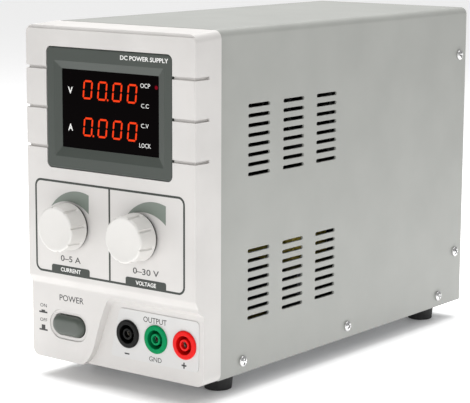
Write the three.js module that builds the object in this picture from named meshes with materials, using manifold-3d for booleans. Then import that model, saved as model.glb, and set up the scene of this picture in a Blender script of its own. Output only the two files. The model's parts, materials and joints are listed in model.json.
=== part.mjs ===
// Bench power supply: a moulded front fascia with a display, two rotary controls, a mains push
// button and three output jacks, on a sheet metal pan closed by a folded cover, with the
// transformer, boards, heatsink, fan and mains inlet that it holds.
// Millimetres. X points right, Y to the rear, Z up. The origin is on the standing surface, under
// the middle of the object. The pieces are built in the case frame, where y = 0 is the joint
// between fascia and cover and z = 0 is the underside of the pan.
import * as THREE from 'three';
import { mergeVertices } from 'three/addons/utils/BufferGeometryUtils.js';
import Module from 'manifold-3d';

const wasm = await Module();
wasm.setup();

// ---------------------------------------------------------------- driving dimensions
const GAP = 0.3; // clearance between neighbouring pieces
const OVERCUT = 1; // how far a cutter runs past the face it cuts

const CASE_WIDTH = 110;
const CASE_HEIGHT = 180;
const CASE_DEPTH = 242;
const SHEET = 1.2;
const BEND_RADIUS = 4;

const FASCIA_WIDTH = 115;
const FASCIA_HEIGHT = 180;
const FASCIA_DEPTH = 21.9;
const FASCIA_WALL = 3;
const FASCIA_CORNER = 4;
const FASCIA_EDGE = 1.2;
const POWER_FACE = -19.7; // front plane of the lower left field
const OUTPUT_FACE = -15.4; // front plane of the lower right field
// Ramps down to the two lower fields: their height at the fascia front and on the field.
const POWER_RAMP = { top: 45, foot: 41.2 };
const OUTPUT_RAMP = { top: 41.1, foot: 36.7 };
const GROOVE_HEIGHTS = [115.4, 136.2, 157];
const GROOVE_WIDTH = 1.6;
const GROOVE_DEPTH = 1.8;
const GROOVE_RETURN = -12; // how far back the grooves run along the sides
const POWER_POCKET = { side: -17, bottom: 8, top: 38 }; // hollow behind the lower left field
// Left wall of the lower right field: straight down to foot, then curved over bend to end.
const OUTPUT_WALL = {
  top: 0.7,
  foot: { x: -12.6, z: 12.4 },
  bend: { x: -15, z: 4.5 },
  end: { x: -21, z: 0.2 },
  exit: -25,
};

const BEZEL = { halfWidth: 42.4, bottom: 104.9, top: 168.2, corner: 3, flange: 2 };
const BEZEL_SLOPE = { halfWidth: 37.3, bottom: 111.2, top: 161.2 };
const WINDOW = { halfWidth: 32.8, bottom: 116, top: 157.1, depth: 1.5, thickness: 1.5, rebate: 1.5 };

const BOARD_FRONT = -8; // front face of the display board
const BOARD_THICKNESS = 1.6;
const BOARD_HOLE = 1.6;
const DISPLAY_BOARD = { halfWidth: 50, bottom: 58, top: 170, holeX: 45, holeInset: 6 };
const DIGITS = { x: 1.4, halfWidth: 21, height: 16, face: -17.2 };
const DIGIT_ROWS = { voltage: 146.9, current: 127.5 };

const KNOB_HEIGHT = 74.7;
const KNOB_X = { current: -26, voltage: 20.9 };
const KNOB_RADIUS = 12.6;
const KNOB_LENGTH = 12.2;
const KNOB_GAP = 0.8; // room for the push travel between knob and fascia
const KNOB_FLUTES = 12;
const FLUTE_DEPTH = 0.7;
const KNOB_EDGE = 0.8;
const KNOB_FRONT_WALL = 2.2;
const KNOB_SKIRT = { radius: 9.5, depth: 2.5 };
const SHAFT_RADIUS = 3;
const SHAFT_FLAT = 1.5; // distance of the D flat from the shaft axis
const ENCODER_HOLE = 5;
const ENCODER = { front: -14.8, half: 6.5, wall: 1.5, bushing: 4.5, chamber: 5.2 };
const ROTOR = { radius: 4.8, thickness: 2 };

const JACK_X = { negative: 7.6, ground: 26.65, positive: 45.7 };
const JACK_HEIGHT = 20.7;
const JACK_FLANGE = { radius: 7.5, face: 7.1, thickness: 1 };
const JACK_BARREL = { radius: 6, back: -2 };
const JACK_TUBE = { bore: 2, outer: 3.05, recess: 4.92, sunk: 0.5, depth: 11, wall: 2.6 };
const CONTACT = { radius: 1.95, collar: 2.4, front: -14.1, seat: -4.5, head: 4.6, stud: 2, end: 9 };
const JACK_NUT = { acrossFlats: 16, thickness: 3 };
const LABEL_FRONT = -15.9;
const LABEL_THICKNESS = 0.4;
const LABEL_CORNER = 2.5;

const BUTTON = { x: -31, z: 19.8, width: 22.4, height: 11, proud: 2, depth: 9.5, edge: 1.4 };
const BUTTON_GAP = 0.45;
const BUTTON_CROWN = 6; // solid depth of the cap in front of its socket
const PLUNGER_HALF = 2;
const SWITCH = { half: 6.5, front: -5, back: 16, well: 4 };

const SLOT_LENGTH = 18.9;
const SLOT_HEIGHT = 1.9;
const SLOT_COLUMNS = [24.3, 54.8, 85.3];
const SLOT_BLOCKS = [28.5, 104.3]; // height of each block's lowest slot
const SLOT_ROWS = 8;
const SLOT_PITCH = 5.07;

const SIDE_SCREWS = [
  { name: 'bottom_front', y: 20, z: 6.5 },
  { name: 'bottom_middle', y: 117.4, z: 6.5 },
  { name: 'bottom_rear', y: 215.7, z: 6.5 },
  { name: 'rear_lower', y: 234.2, z: 31.2 },
  { name: 'rear_upper', y: 234.2, z: 151.9 },
];
const SCREW = { head: 3, rim: 0.9, height: 1.9, shank: 1.5, length: 6, hole: 1.9 };

const FOOT_HEIGHT = 10.5;
const FOOT = { radius: 8, taper: 0.7, shoulder: -3, recess: 4.6, seat: -4.5, hole: 2.2, top: -0.2 };
const FOOT_X = 39;
const FOOT_Y = { front: 20, rear: 222 };

const PAN = { front: 1, height: 14, upstandLeft: -15, upstandRight: 50, upstandTop: 8 };
const PANEL_BACK = 240.5; // outer face of the rear panel
const PANEL = { bottom: 1.6, topGap: 0.5, flangeFront: 226, flangeBottom: 16, flangeDrop: 6 };
const FAN = { x: 0, z: 130, size: 60, depth: 20, bore: 28.5, hub: 12.5, holes: 25, hole: 2.2 };
const FAN_MOTOR = { radius: 11.5, strut: 1.5, front: 4, strutFront: 3.2, back: 0.5, bearing: 1.8 };
const BLADE = { count: 7, thickness: 1.4, chord: 14, span: 16, rise: 6.8, pitch: Math.PI / 4.5 };
const GUARD = { rings: [9, 19, 29], wire: 0.9, ringRise: 2, spokeRise: 1.2, eye: 3.6 };
const INLET = {
  x: -20,
  z: 40,
  width: 48,
  height: 40,
  front: 243.6,
  bodyWidth: 29,
  bodyHeight: 36,
  bodyDepth: 24,
  screwX: 20,
  screwHole: 1.8,
};
const SOCKET = { width: 24.2, height: 16.6, depth: 17, drop: 8, chamfer: 4 };
const DRAWER = { width: 23.4, height: 9, depth: 20, rise: 11, back: 244.8, gripX: 7, gripZ: 2.5 };
const TRAY = { halfWidth: 10.4, front: 3, back: 9.2, floor: 1.5 };
const FUSE = { radius: 2.6, halfLength: 10 };
const SELECTOR = { x: 26, z: 34, width: 36, height: 14, flange: 1.4, bodyX: 12, bodyZ: 5.5, depth: 8 };
const CHANNEL = { halfWidth: 6.4, halfHeight: 3.4, depth: 6 };
const SLIDER = { left: -6, right: 0.8, halfHeight: 3, front: 5.4, back: 1.4 };

const KNOB_BACK = -(FASCIA_DEPTH + KNOB_GAP);
const FRONT_REACH = KNOB_BACK - KNOB_LENGTH;
const REAR_REACH = DRAWER.back;
const PANEL_FRONT = PANEL_BACK - SHEET;

// ---------------------------------------------------------------- materials
function finish(color, roughness, metalness = 0) {
  return new THREE.MeshStandardMaterial({ color, roughness, metalness });
}

const COLOURS = {
  fascia: 0xdedad6,
  cover: 0xb9bbb4,
  bezel: 0x535a52,
  window: 0x08080a,
  knob: 0xe6e4de,
  button: 0x6b736b,
  label: 0xe2e1de,
  black: 0x1c1c1d,
  green: 0x0f9d68,
  red: 0xd9241f,
  zinc: 0xb9bcbd,
  nickel: 0xc9c6bd,
  rubber: 0x161616,
  board: 0x2d5a36,
  steel: 0x8b8d8e,
  tape: 0xb89b3a,
  aluminium: 0xa9adb0,
  sleeve: 0x20263a,
  glass: 0xd8dcd8,
};

// ---------------------------------------------------------------- geometry helpers
function signedVolume(position, triangles) {
  const a = new THREE.Vector3();
  const b = new THREE.Vector3();
  const c = new THREE.Vector3();
  let volume = 0;
  for (let i = 0; i < triangles.length; i += 3) {
    a.fromBufferAttribute(position, triangles[i]);
    b.fromBufferAttribute(position, triangles[i + 1]);
    c.fromBufferAttribute(position, triangles[i + 2]);
    volume += a.dot(b.cross(c)) / 6;
  }
  return volume;
}

// A closed three.js geometry as a solid that can be cut and joined.
function solid(geometry) {
  const bare = new THREE.BufferGeometry();
  bare.setAttribute('position', geometry.getAttribute('position'));
  bare.setIndex(geometry.getIndex());
  const merged = mergeVertices(bare, 1e-4);
  const index = merged.getIndex().array;
  const position = merged.getAttribute('position');
  const triangles = [];
  for (let i = 0; i < index.length; i += 3) {
    const [a, b, c] = [index[i], index[i + 1], index[i + 2]];
    if (a !== b && b !== c && c !== a) triangles.push(a, b, c);
  }
  if (signedVolume(position, triangles) < 0) triangles.reverse();
  const mesh = new wasm.Mesh({
    numProp: 3,
    vertProperties: new Float32Array(position.array),
    triVerts: new Uint32Array(triangles),
  });
  return new wasm.Manifold(mesh);
}

function joined(first, ...others) {
  return others.reduce((body, other) => body.add(other), first);
}

function without(body, ...cutters) {
  return cutters.reduce((rest, cutter) => rest.subtract(cutter), body);
}

function block(x0, x1, y0, y1, z0, z1) {
  const box = new THREE.BoxGeometry(x1 - x0, y1 - y0, z1 - z0);
  return solid(box.translate((x0 + x1) / 2, (y0 + y1) / 2, (z0 + z1) / 2));
}

// A shape drawn in X and Z, extruded from y0 to y1.
function slab(shape, y0, y1, curveSegments = 3) {
  const depth = y1 - y0;
  const extruded = new THREE.ExtrudeGeometry(shape, { depth, bevelEnabled: false, curveSegments });
  return solid(extruded.rotateX(Math.PI / 2).translate(0, y1, 0));
}

// The same with both end edges rounded off by the bevel size.
function bevelledSlab(shape, y0, y1, bevel, curveSegments = 3, bevelSegments = 1) {
  const options = {
    depth: y1 - y0 - 2 * bevel,
    bevelEnabled: true,
    bevelThickness: bevel,
    bevelSize: bevel,
    bevelOffset: -bevel,
    bevelSegments,
    curveSegments,
  };
  const extruded = new THREE.ExtrudeGeometry(shape, options);
  return solid(extruded.rotateX(Math.PI / 2).translate(0, y1 - bevel, 0));
}

// An outline of [y, z] points, extruded from x0 to x1.
function prism(points, x0, x1) {
  const shape = new THREE.Shape(points.map(([y, z]) => new THREE.Vector2(y, z)));
  const extruded = new THREE.ExtrudeGeometry(shape, { depth: x1 - x0, bevelEnabled: false });
  const alongX = new THREE.Matrix4().makeBasis(
    new THREE.Vector3(0, 1, 0),
    new THREE.Vector3(0, 0, 1),
    new THREE.Vector3(1, 0, 0),
  );
  return solid(extruded.applyMatrix4(alongX).translate(x0, 0, 0));
}

function roundedRect(x0, z0, x1, z1, radius) {
  const shape = new THREE.Shape();
  shape.moveTo(x0 + radius, z0);
  shape.absarc(x1 - radius, z0 + radius, radius, -Math.PI / 2, 0, false);
  shape.absarc(x1 - radius, z1 - radius, radius, 0, Math.PI / 2, false);
  shape.absarc(x0 + radius, z1 - radius, radius, Math.PI / 2, Math.PI, false);
  shape.absarc(x0 + radius, z0 + radius, radius, Math.PI, Math.PI * 1.5, false);
  return shape;
}

function rectangle(x, z, width, height, radius) {
  const [halfWidth, halfHeight] = [width / 2, height / 2];
  return roundedRect(x - halfWidth, z - halfHeight, x + halfWidth, z + halfHeight, radius);
}

// A profile of [radius, y] points turned about the Y axis through (x, z).
function turned(profile, x, z, segments) {
  const points = profile.map(([radius, y]) => new THREE.Vector2(radius, y));
  return solid(new THREE.LatheGeometry(points, segments).translate(x, 0, z));
}

// A profile of [radius, z] points turned about an upright axis through (x, y).
function turnedUpright(profile, x, y, segments) {
  const points = profile.map(([radius, z]) => new THREE.Vector2(radius, z));
  const lathe = new THREE.LatheGeometry(points, segments);
  return solid(lathe.rotateX(Math.PI / 2).translate(x, y, 0));
}

function rod(radius, y0, y1, x, z, segments) {
  return turned([[0, y0], [radius, y0], [radius, y1], [0, y1]], x, z, segments);
}

// A round bar along X.
function crossRod(radius, x0, x1, y, z, segments) {
  const bar = new THREE.CylinderGeometry(radius, radius, x1 - x0, segments);
  return solid(bar.rotateZ(Math.PI / 2).translate((x0 + x1) / 2, y, z));
}

// ---------------------------------------------------------------- front fascia
function outputField() {
  const shape = new THREE.Shape();
  const side = FASCIA_WIDTH / 2 + OVERCUT;
  shape.moveTo(side, -OVERCUT);
  const { top, foot, bend, end, exit } = OUTPUT_WALL;
  shape.lineTo(side, POWER_RAMP.top + OVERCUT);
  shape.lineTo(top, POWER_RAMP.top + OVERCUT);
  shape.lineTo(foot.x, foot.z);
  shape.quadraticCurveTo(bend.x, bend.z, end.x, end.z);
  shape.lineTo(exit, -OVERCUT);
  return shape;
}

function rampProfile(face, { top, foot }) {
  return [
    [-FASCIA_DEPTH - OVERCUT, -OVERCUT],
    [face, -OVERCUT],
    [face, foot],
    [-FASCIA_DEPTH, top],
    [-FASCIA_DEPTH - OVERCUT, top],
  ];
}

function sideGrooves() {
  const side = FASCIA_WIDTH / 2;
  const floorX = side - GROOVE_DEPTH;
  const floorY = -FASCIA_DEPTH + GROOVE_DEPTH;
  const grooves = [];
  for (const z of GROOVE_HEIGHTS) {
    for (const hand of [-1, 1]) {
      const [z0, z1] = [z - GROOVE_WIDTH / 2, z + GROOVE_WIDTH / 2];
      const span = (a, b) => (hand > 0 ? [a, b] : [-b, -a]);
      const face = span(BEZEL.halfWidth + GAP, side + OVERCUT);
      const flank = span(floorX, side + OVERCUT);
      grooves.push(block(...face, -FASCIA_DEPTH - OVERCUT, floorY, z0, z1));
      grooves.push(block(...flank, -FASCIA_DEPTH - OVERCUT, GROOVE_RETURN, z0, z1));
    }
  }
  return grooves;
}

function makeFascia() {
  const side = FASCIA_WIDTH / 2;
  const outline = roundedRect(-side, 0, side, FASCIA_HEIGHT, FASCIA_CORNER);
  const shell = joined(
    slab(outline, -FASCIA_DEPTH + FASCIA_EDGE, 0),
    bevelledSlab(outline, -FASCIA_DEPTH, -FASCIA_DEPTH / 2, FASCIA_EDGE),
  );
  const span = [-side - OVERCUT, side + OVERCUT];
  const powerCut = prism(rampProfile(POWER_FACE, POWER_RAMP), ...span);
  const outputCut = prism(rampProfile(OUTPUT_FACE, OUTPUT_RAMP), ...span)
    .intersect(slab(outputField(), -FASCIA_DEPTH - OVERCUT, 0, 4));
  const inner = side - FASCIA_WALL;
  const [floor, ceiling] = [FASCIA_WALL, FASCIA_HEIGHT - FASCIA_WALL];
  const shallow = OUTPUT_FACE + FASCIA_WALL;
  const cavity = joined(
    block(-inner, inner, shallow, OVERCUT, floor, ceiling),
    block(-inner, inner, -FASCIA_DEPTH + FASCIA_WALL, 0, POWER_RAMP.top + FASCIA_WALL, ceiling),
    block(
      -inner, POWER_POCKET.side, POWER_FACE + FASCIA_WALL, 0, POWER_POCKET.bottom, POWER_POCKET.top,
    ),
  );
  const { halfWidth, bottom, top, corner } = BEZEL;
  const displayHole = roundedRect(
    -halfWidth - GAP, bottom - GAP, halfWidth + GAP, top + GAP, corner + GAP,
  );
  const cutters = [slab(displayHole, -FASCIA_DEPTH - OVERCUT, 0), ...sideGrooves()];
  for (const x of Object.values(KNOB_X)) {
    cutters.push(rod(ENCODER_HOLE, -FASCIA_DEPTH - OVERCUT, 0, x, KNOB_HEIGHT, 12));
  }
  for (const x of Object.values(JACK_X)) {
    cutters.push(rod(JACK_BARREL.radius + GAP, OUTPUT_FACE - OVERCUT, 0, x, JACK_HEIGHT, 16));
  }
  const buttonHole = rectangle(
    BUTTON.x, BUTTON.z, BUTTON.width + 2 * BUTTON_GAP, BUTTON.height + 2 * BUTTON_GAP,
    BUTTON.height / 2 + BUTTON_GAP - 0.05,
  );
  cutters.push(slab(buttonHole, -FASCIA_DEPTH, 0));
  return without(shell, powerCut, outputCut, cavity, ...cutters);
}

// ---------------------------------------------------------------- display
function makeBezel() {
  const { halfWidth, bottom, top, corner, flange } = BEZEL;
  const front = -FASCIA_DEPTH;
  const wallBack = front + FASCIA_WALL;
  const rearFace = wallBack + flange;
  const rim = slab(roundedRect(-halfWidth, bottom, halfWidth, top, corner), front, rearFace);
  const lip = slab(
    roundedRect(-halfWidth - flange, bottom - flange, halfWidth + flange, top + flange, corner),
    wallBack + GAP, rearFace,
  );
  const windowFace = front + WINDOW.depth;
  const slope = new THREE.BufferGeometry();
  const funnel = [
    [BEZEL_SLOPE, front],
    [{ halfWidth: WINDOW.halfWidth, bottom: WINDOW.bottom, top: WINDOW.top }, windowFace],
  ];
  const corners = [];
  for (const [frame, y] of funnel) {
    corners.push(-frame.halfWidth, y, frame.bottom, frame.halfWidth, y, frame.bottom);
    corners.push(frame.halfWidth, y, frame.top, -frame.halfWidth, y, frame.top);
  }
  slope.setAttribute('position', new THREE.Float32BufferAttribute(corners, 3));
  const faces = [[0, 1, 2, 3], [7, 6, 5, 4], [1, 0, 4, 5], [2, 1, 5, 6], [3, 2, 6, 7], [0, 3, 7, 4]];
  slope.setIndex(faces.flatMap(([a, b, c, d]) => [a, b, c, a, c, d]));
  const { rebate } = WINDOW;
  const seat = block(
    -WINDOW.halfWidth - rebate, WINDOW.halfWidth + rebate, windowFace + GAP, 0,
    WINDOW.bottom - rebate, WINDOW.top + rebate,
  );
  const opening = block(
    -WINDOW.halfWidth, WINDOW.halfWidth, windowFace - 0.1, 0, WINDOW.bottom, WINDOW.top,
  );
  return without(joined(rim, lip), solid(slope), opening, seat);
}

function makeWindow() {
  const face = -FASCIA_DEPTH + WINDOW.depth + 2 * GAP;
  const { halfWidth, bottom, top, thickness, rebate } = WINDOW;
  const lap = rebate - GAP;
  return block(-halfWidth - lap, halfWidth + lap, face, face + thickness, bottom - lap, top + lap);
}

function makeDigits(z) {
  const { x, halfWidth, height, face } = DIGITS;
  const back = BOARD_FRONT - GAP;
  return block(x - halfWidth, x + halfWidth, face, back, z - height / 2, z + height / 2);
}

function makeDisplayBoard() {
  const { halfWidth, bottom, top, holeX, holeInset } = DISPLAY_BOARD;
  const back = BOARD_FRONT + BOARD_THICKNESS;
  const board = block(-halfWidth, halfWidth, BOARD_FRONT, back, bottom, top);
  const holes = [];
  for (const x of [-holeX, holeX]) {
    for (const z of [bottom + holeInset, top - holeInset]) {
      holes.push(rod(BOARD_HOLE, BOARD_FRONT - OVERCUT, 0, x, z, 6));
    }
  }
  return without(board, ...holes);
}

// ---------------------------------------------------------------- rotary controls
function shaftOutline(radius, flat, x, z) {
  const half = Math.acos(flat / radius);
  const shape = new THREE.Shape();
  shape.absarc(x, z, radius, Math.PI / 2 + half, Math.PI * 2.5 - half, false);
  return shape;
}

function knobOutline(x, z) {
  const steps = KNOB_FLUTES * 4;
  const points = [];
  for (let i = 0; i < steps; i += 1) {
    const angle = (i / steps) * Math.PI * 2;
    const wave = Math.max(0, Math.cos(angle * KNOB_FLUTES));
    const radius = KNOB_RADIUS - FLUTE_DEPTH * wave;
    points.push(new THREE.Vector2(x + radius * Math.cos(angle), z + radius * Math.sin(angle)));
  }
  return new THREE.Shape(points);
}

function makeKnob(x) {
  const front = KNOB_BACK - KNOB_LENGTH;
  const body = bevelledSlab(knobOutline(x, KNOB_HEIGHT), front, KNOB_BACK, KNOB_EDGE, 4, 1);
  const bore = slab(
    shaftOutline(SHAFT_RADIUS + GAP, SHAFT_FLAT + GAP, x, KNOB_HEIGHT),
    front + KNOB_FRONT_WALL, KNOB_BACK + OVERCUT, 6,
  );
  const { radius, depth } = KNOB_SKIRT;
  const skirt = rod(radius, KNOB_BACK - depth, KNOB_BACK + OVERCUT, x, KNOB_HEIGHT, 16);
  return without(body, bore, skirt);
}

function makeShaft(x) {
  const outline = shaftOutline(SHAFT_RADIUS, SHAFT_FLAT, x, KNOB_HEIGHT);
  const front = KNOB_BACK - KNOB_LENGTH + KNOB_FRONT_WALL + GAP;
  return slab(outline, front, BOARD_FRONT - 4 * GAP, 6);
}

const ENCODER_BACK = BOARD_FRONT - GAP;

function makeRotor(x) {
  const front = ENCODER.front + ENCODER.wall + 0.4;
  const disc = rod(ROTOR.radius, front, front + ROTOR.thickness, x, KNOB_HEIGHT, 12);
  const bore = slab(
    shaftOutline(SHAFT_RADIUS + GAP, SHAFT_FLAT + GAP, x, KNOB_HEIGHT),
    ENCODER.front, ENCODER_BACK, 6,
  );
  return without(disc, bore);
}

function makeEncoder(x) {
  const z = KNOB_HEIGHT;
  const { front, half, wall, bushing, chamber } = ENCODER;
  const housing = block(x - half, x + half, front, ENCODER_BACK, z - half, z + half);
  const neck = rod(bushing, -FASCIA_DEPTH + 0.4, front + OVERCUT, x, z, 12);
  const hollow = rod(chamber, front + wall, ENCODER_BACK + OVERCUT, x, z, 12);
  const bore = rod(SHAFT_RADIUS + 0.4, -FASCIA_DEPTH, ENCODER_BACK, x, z, 12);
  return without(joined(housing, neck), hollow, bore);
}

// ---------------------------------------------------------------- output jacks
function labelOutline() {
  const corners = [[-4.6, 7.4], [54.4, 7.4], [54.9, 34], [1.8, 34]];
  const shape = new THREE.Shape();
  corners.forEach(([x, z], i) => {
    const [px, pz] = corners[(i + 3) % 4];
    const [nx, nz] = corners[(i + 1) % 4];
    const before = new THREE.Vector2(px - x, pz - z).setLength(LABEL_CORNER);
    const after = new THREE.Vector2(nx - x, nz - z).setLength(LABEL_CORNER);
    if (i === 0) shape.moveTo(x + before.x, z + before.y);
    else shape.lineTo(x + before.x, z + before.y);
    shape.quadraticCurveTo(x, z, x + after.x, z + after.y);
  });
  return shape;
}

function makeOutputLabel() {
  const plate = slab(labelOutline(), LABEL_FRONT, LABEL_FRONT + LABEL_THICKNESS, 2);
  const holes = Object.values(JACK_X).map((x) => (
    rod(JACK_BARREL.radius + GAP, LABEL_FRONT - OVERCUT, 0, x, JACK_HEIGHT, 16)
  ));
  return without(plate, ...holes);
}

function makeJackBody(x) {
  const back = LABEL_FRONT - 0.2;
  const front = back - JACK_FLANGE.thickness;
  const { bore, outer, recess, sunk, depth, wall } = JACK_TUBE;
  const sleeve = CONTACT.collar + GAP;
  return turned([
    [bore, front + sunk],
    [outer, front + sunk],
    [outer, front + depth],
    [recess, front + depth],
    [recess, front],
    [JACK_FLANGE.face, front],
    [JACK_FLANGE.radius, front + 0.4],
    [JACK_FLANGE.radius, back],
    [JACK_BARREL.radius, back],
    [JACK_BARREL.radius, JACK_BARREL.back],
    [sleeve, JACK_BARREL.back],
    [sleeve, front + wall],
    [bore, front + wall],
    [bore, front + sunk],
  ], x, JACK_HEIGHT, 16);
}

function makeJackContact(x) {
  const { radius, collar, front, seat, head, stud, end } = CONTACT;
  const headFront = JACK_BARREL.back + 0.4;
  return turned([
    [0, seat],
    [radius, seat],
    [radius, front],
    [collar, front],
    [collar, headFront],
    [head, headFront],
    [head, headFront + 1.2],
    [stud, headFront + 1.2],
    [stud, end],
    [0, end],
  ], x, JACK_HEIGHT, 8);
}

function makeJackNut(x) {
  const front = OUTPUT_FACE + FASCIA_WALL + GAP;
  const hexagon = new THREE.Shape();
  const corner = JACK_NUT.acrossFlats / Math.sqrt(3);
  for (let i = 0; i < 6; i += 1) {
    const angle = (i * Math.PI) / 3 + Math.PI / 6;
    const point = [x + corner * Math.cos(angle), JACK_HEIGHT + corner * Math.sin(angle)];
    if (i === 0) hexagon.moveTo(...point);
    else hexagon.lineTo(...point);
  }
  const hole = rod(JACK_BARREL.radius + GAP, front - OVERCUT, 0, x, JACK_HEIGHT, 16);
  return without(slab(hexagon, front, front + JACK_NUT.thickness), hole);
}

// ---------------------------------------------------------------- mains push button
function makeButton() {
  const { x, z, width, height, proud, depth, edge } = BUTTON;
  const front = POWER_FACE - proud;
  const [crown, back] = [front + BUTTON_CROWN, front + depth];
  const outline = rectangle(x, z, width, height, height / 2);
  const cap = joined(
    bevelledSlab(outline, front, crown, edge, 3, 1),
    slab(outline, front + 2, back),
  );
  const half = PLUNGER_HALF + GAP;
  const socket = block(x - half, x + half, crown, back + OVERCUT, z - half, z + half);
  return without(cap, socket);
}

function makePlunger() {
  const { x, z, proud } = BUTTON;
  const half = PLUNGER_HALF;
  const front = POWER_FACE - proud + BUTTON_CROWN + GAP;
  return block(x - half, x + half, front, SWITCH.well - 2, z - half, z + half);
}

function makePowerSwitch() {
  const { x, z } = BUTTON;
  const half = PLUNGER_HALF + GAP;
  const { half: side, front, back, well } = SWITCH;
  const body = block(x - side, x + side, front, back, z - side, z + side);
  return without(body, block(x - half, x + half, front - OVERCUT, well, z - half, z + half));
}

// ---------------------------------------------------------------- cover, pan and rear panel
function makeCover() {
  const half = CASE_WIDTH / 2;
  const inner = half - SHEET;
  const [centreX, centreZ] = [half - BEND_RADIUS, CASE_HEIGHT - BEND_RADIUS];
  const shape = new THREE.Shape();
  shape.moveTo(half, 0);
  shape.lineTo(half, centreZ);
  shape.absarc(centreX, centreZ, BEND_RADIUS, 0, Math.PI / 2, false);
  shape.absarc(-centreX, centreZ, BEND_RADIUS, Math.PI / 2, Math.PI, false);
  shape.lineTo(-half, 0);
  shape.lineTo(-inner, 0);
  shape.absarc(-centreX, centreZ, BEND_RADIUS - SHEET, Math.PI, Math.PI / 2, true);
  shape.absarc(centreX, centreZ, BEND_RADIUS - SHEET, Math.PI / 2, 0, true);
  shape.lineTo(inner, 0);
  const reach = half + OVERCUT;
  const cutters = [];
  for (const y of SLOT_COLUMNS) {
    for (const base of SLOT_BLOCKS) {
      for (let row = 0; row < SLOT_ROWS; row += 1) {
        const z = base + row * SLOT_PITCH;
        const [z0, z1] = [z - SLOT_HEIGHT / 2, z + SLOT_HEIGHT / 2];
        cutters.push(block(-reach, reach, y, y + SLOT_LENGTH, z0, z1));
      }
    }
  }
  for (const { y, z } of SIDE_SCREWS) {
    cutters.push(crossRod(SCREW.hole, -reach, reach, y, z, 6));
  }
  return without(slab(shape, GAP, CASE_DEPTH, 4), ...cutters);
}

function screwHoles(reach, chosen) {
  return SIDE_SCREWS.filter(({ name }) => name.startsWith(chosen)).map(({ y, z }) => (
    crossRod(SCREW.hole, -reach, reach, y, z, 6)
  ));
}

function fanScrewHoles(y0, y1) {
  const holes = [];
  for (const dx of [-FAN.holes, FAN.holes]) {
    for (const dz of [-FAN.holes, FAN.holes]) {
      holes.push(rod(FAN.hole, y0, y1, FAN.x + dx, FAN.z + dz, 6));
    }
  }
  return holes;
}

const LINER = CASE_WIDTH / 2 - SHEET - 0.4; // half width of what slides into the cover

function makePan() {
  const { front, height, upstandLeft, upstandRight, upstandTop } = PAN;
  const rear = PANEL_FRONT - 0.4;
  const inner = LINER - SHEET;
  const pan = without(
    block(-LINER, LINER, front, rear, 0, height),
    block(-inner, inner, front - OVERCUT, rear + OVERCUT, SHEET, height + OVERCUT),
  );
  const upstand = block(upstandLeft, upstandRight, front, front + SHEET, SHEET / 2, upstandTop);
  const cutters = screwHoles(CASE_WIDTH, 'bottom');
  for (const x of [-FOOT_X, FOOT_X]) {
    for (const y of Object.values(FOOT_Y)) {
      const { hole } = FOOT;
      cutters.push(turnedUpright([[0, -1], [hole, -1], [hole, 2], [0, 2]], x, y, 6));
    }
  }
  return without(joined(pan, upstand), ...cutters);
}

function makeRearPanel() {
  const { bottom, topGap, flangeFront, flangeBottom, flangeDrop } = PANEL;
  const top = CASE_HEIGHT - SHEET - topGap;
  const outline = roundedRect(-LINER, bottom, LINER, top, BEND_RADIUS);
  const through = [PANEL_FRONT - OVERCUT, PANEL_BACK + OVERCUT];
  const inletHole = rectangle(
    INLET.x, INLET.z, INLET.bodyWidth + 2 * GAP, INLET.bodyHeight + 2 * GAP, 1,
  );
  const selectorHole = rectangle(
    SELECTOR.x, SELECTOR.z, 2 * (SELECTOR.bodyX + GAP), 2 * (SELECTOR.bodyZ + GAP), 0.5,
  );
  const cutters = [
    rod(FAN.bore - 0.5, ...through, FAN.x, FAN.z, 24),
    slab(inletHole, ...through),
    slab(selectorHole, ...through),
    ...screwHoles(CASE_WIDTH, 'rear'),
    ...fanScrewHoles(...through),
  ];
  let body = slab(outline, PANEL_FRONT, PANEL_BACK);
  for (const [x0, x1] of [[-LINER, -LINER + SHEET], [LINER - SHEET, LINER]]) {
    body = body.add(block(x0, x1, flangeFront, PANEL_BACK, flangeBottom, top - flangeDrop));
  }
  return without(body, ...cutters);
}

function makeScrew(hand, y, z) {
  const seat = CASE_WIDTH / 2 + 0.1;
  const { head, rim, height, shank, length } = SCREW;
  const profile = [
    [0, seat - length],
    [shank, seat - length],
    [shank, seat],
    [head, seat],
    [head, seat + rim],
    [head * 0.6, seat + height],
    [0, seat + height],
  ];
  const points = profile.map(([radius, reach]) => new THREE.Vector2(radius, reach));
  const lathe = new THREE.LatheGeometry(points, 8).rotateZ((-hand * Math.PI) / 2);
  return solid(lathe.translate(0, y, z));
}

function makeFoot(x, y) {
  const { radius, taper, shoulder, recess, seat, hole, top } = FOOT;
  return turnedUpright([
    [hole, top],
    [radius, top],
    [radius, shoulder],
    [radius - taper, -FOOT_HEIGHT],
    [recess, -FOOT_HEIGHT],
    [recess, seat],
    [hole, seat],
    [hole, top],
  ], x, y, 12);
}

// ---------------------------------------------------------------- power stage
const CORE = { x: 44, y0: 84, y1: 148, z0: 16, z1: 42, lug: 8 };
const COIL = { x: 30, leg: 15, y0: 99, y1: 133, z0: 3, z1: 62 };

function makeCore() {
  const window = (x0, x1) => (
    block(x0, x1, COIL.y0 - GAP, COIL.y1 + GAP, CORE.z0 - OVERCUT, CORE.z1 + OVERCUT)
  );
  const inner = COIL.leg - GAP;
  const outer = COIL.x + GAP;
  const stack = block(-CORE.x, CORE.x, CORE.y0, CORE.y1, CORE.z0, CORE.z1);
  const lugs = [];
  const { lug } = CORE;
  for (const x of [-CORE.x, CORE.x - lug]) {
    for (const y of [CORE.y0, CORE.y1 - lug]) {
      lugs.push(block(x, x + lug, y, y + lug, SHEET + GAP, CORE.z0 + OVERCUT));
    }
  }
  return without(joined(stack, ...lugs), window(-outer, -inner), window(inner, outer));
}

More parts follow.
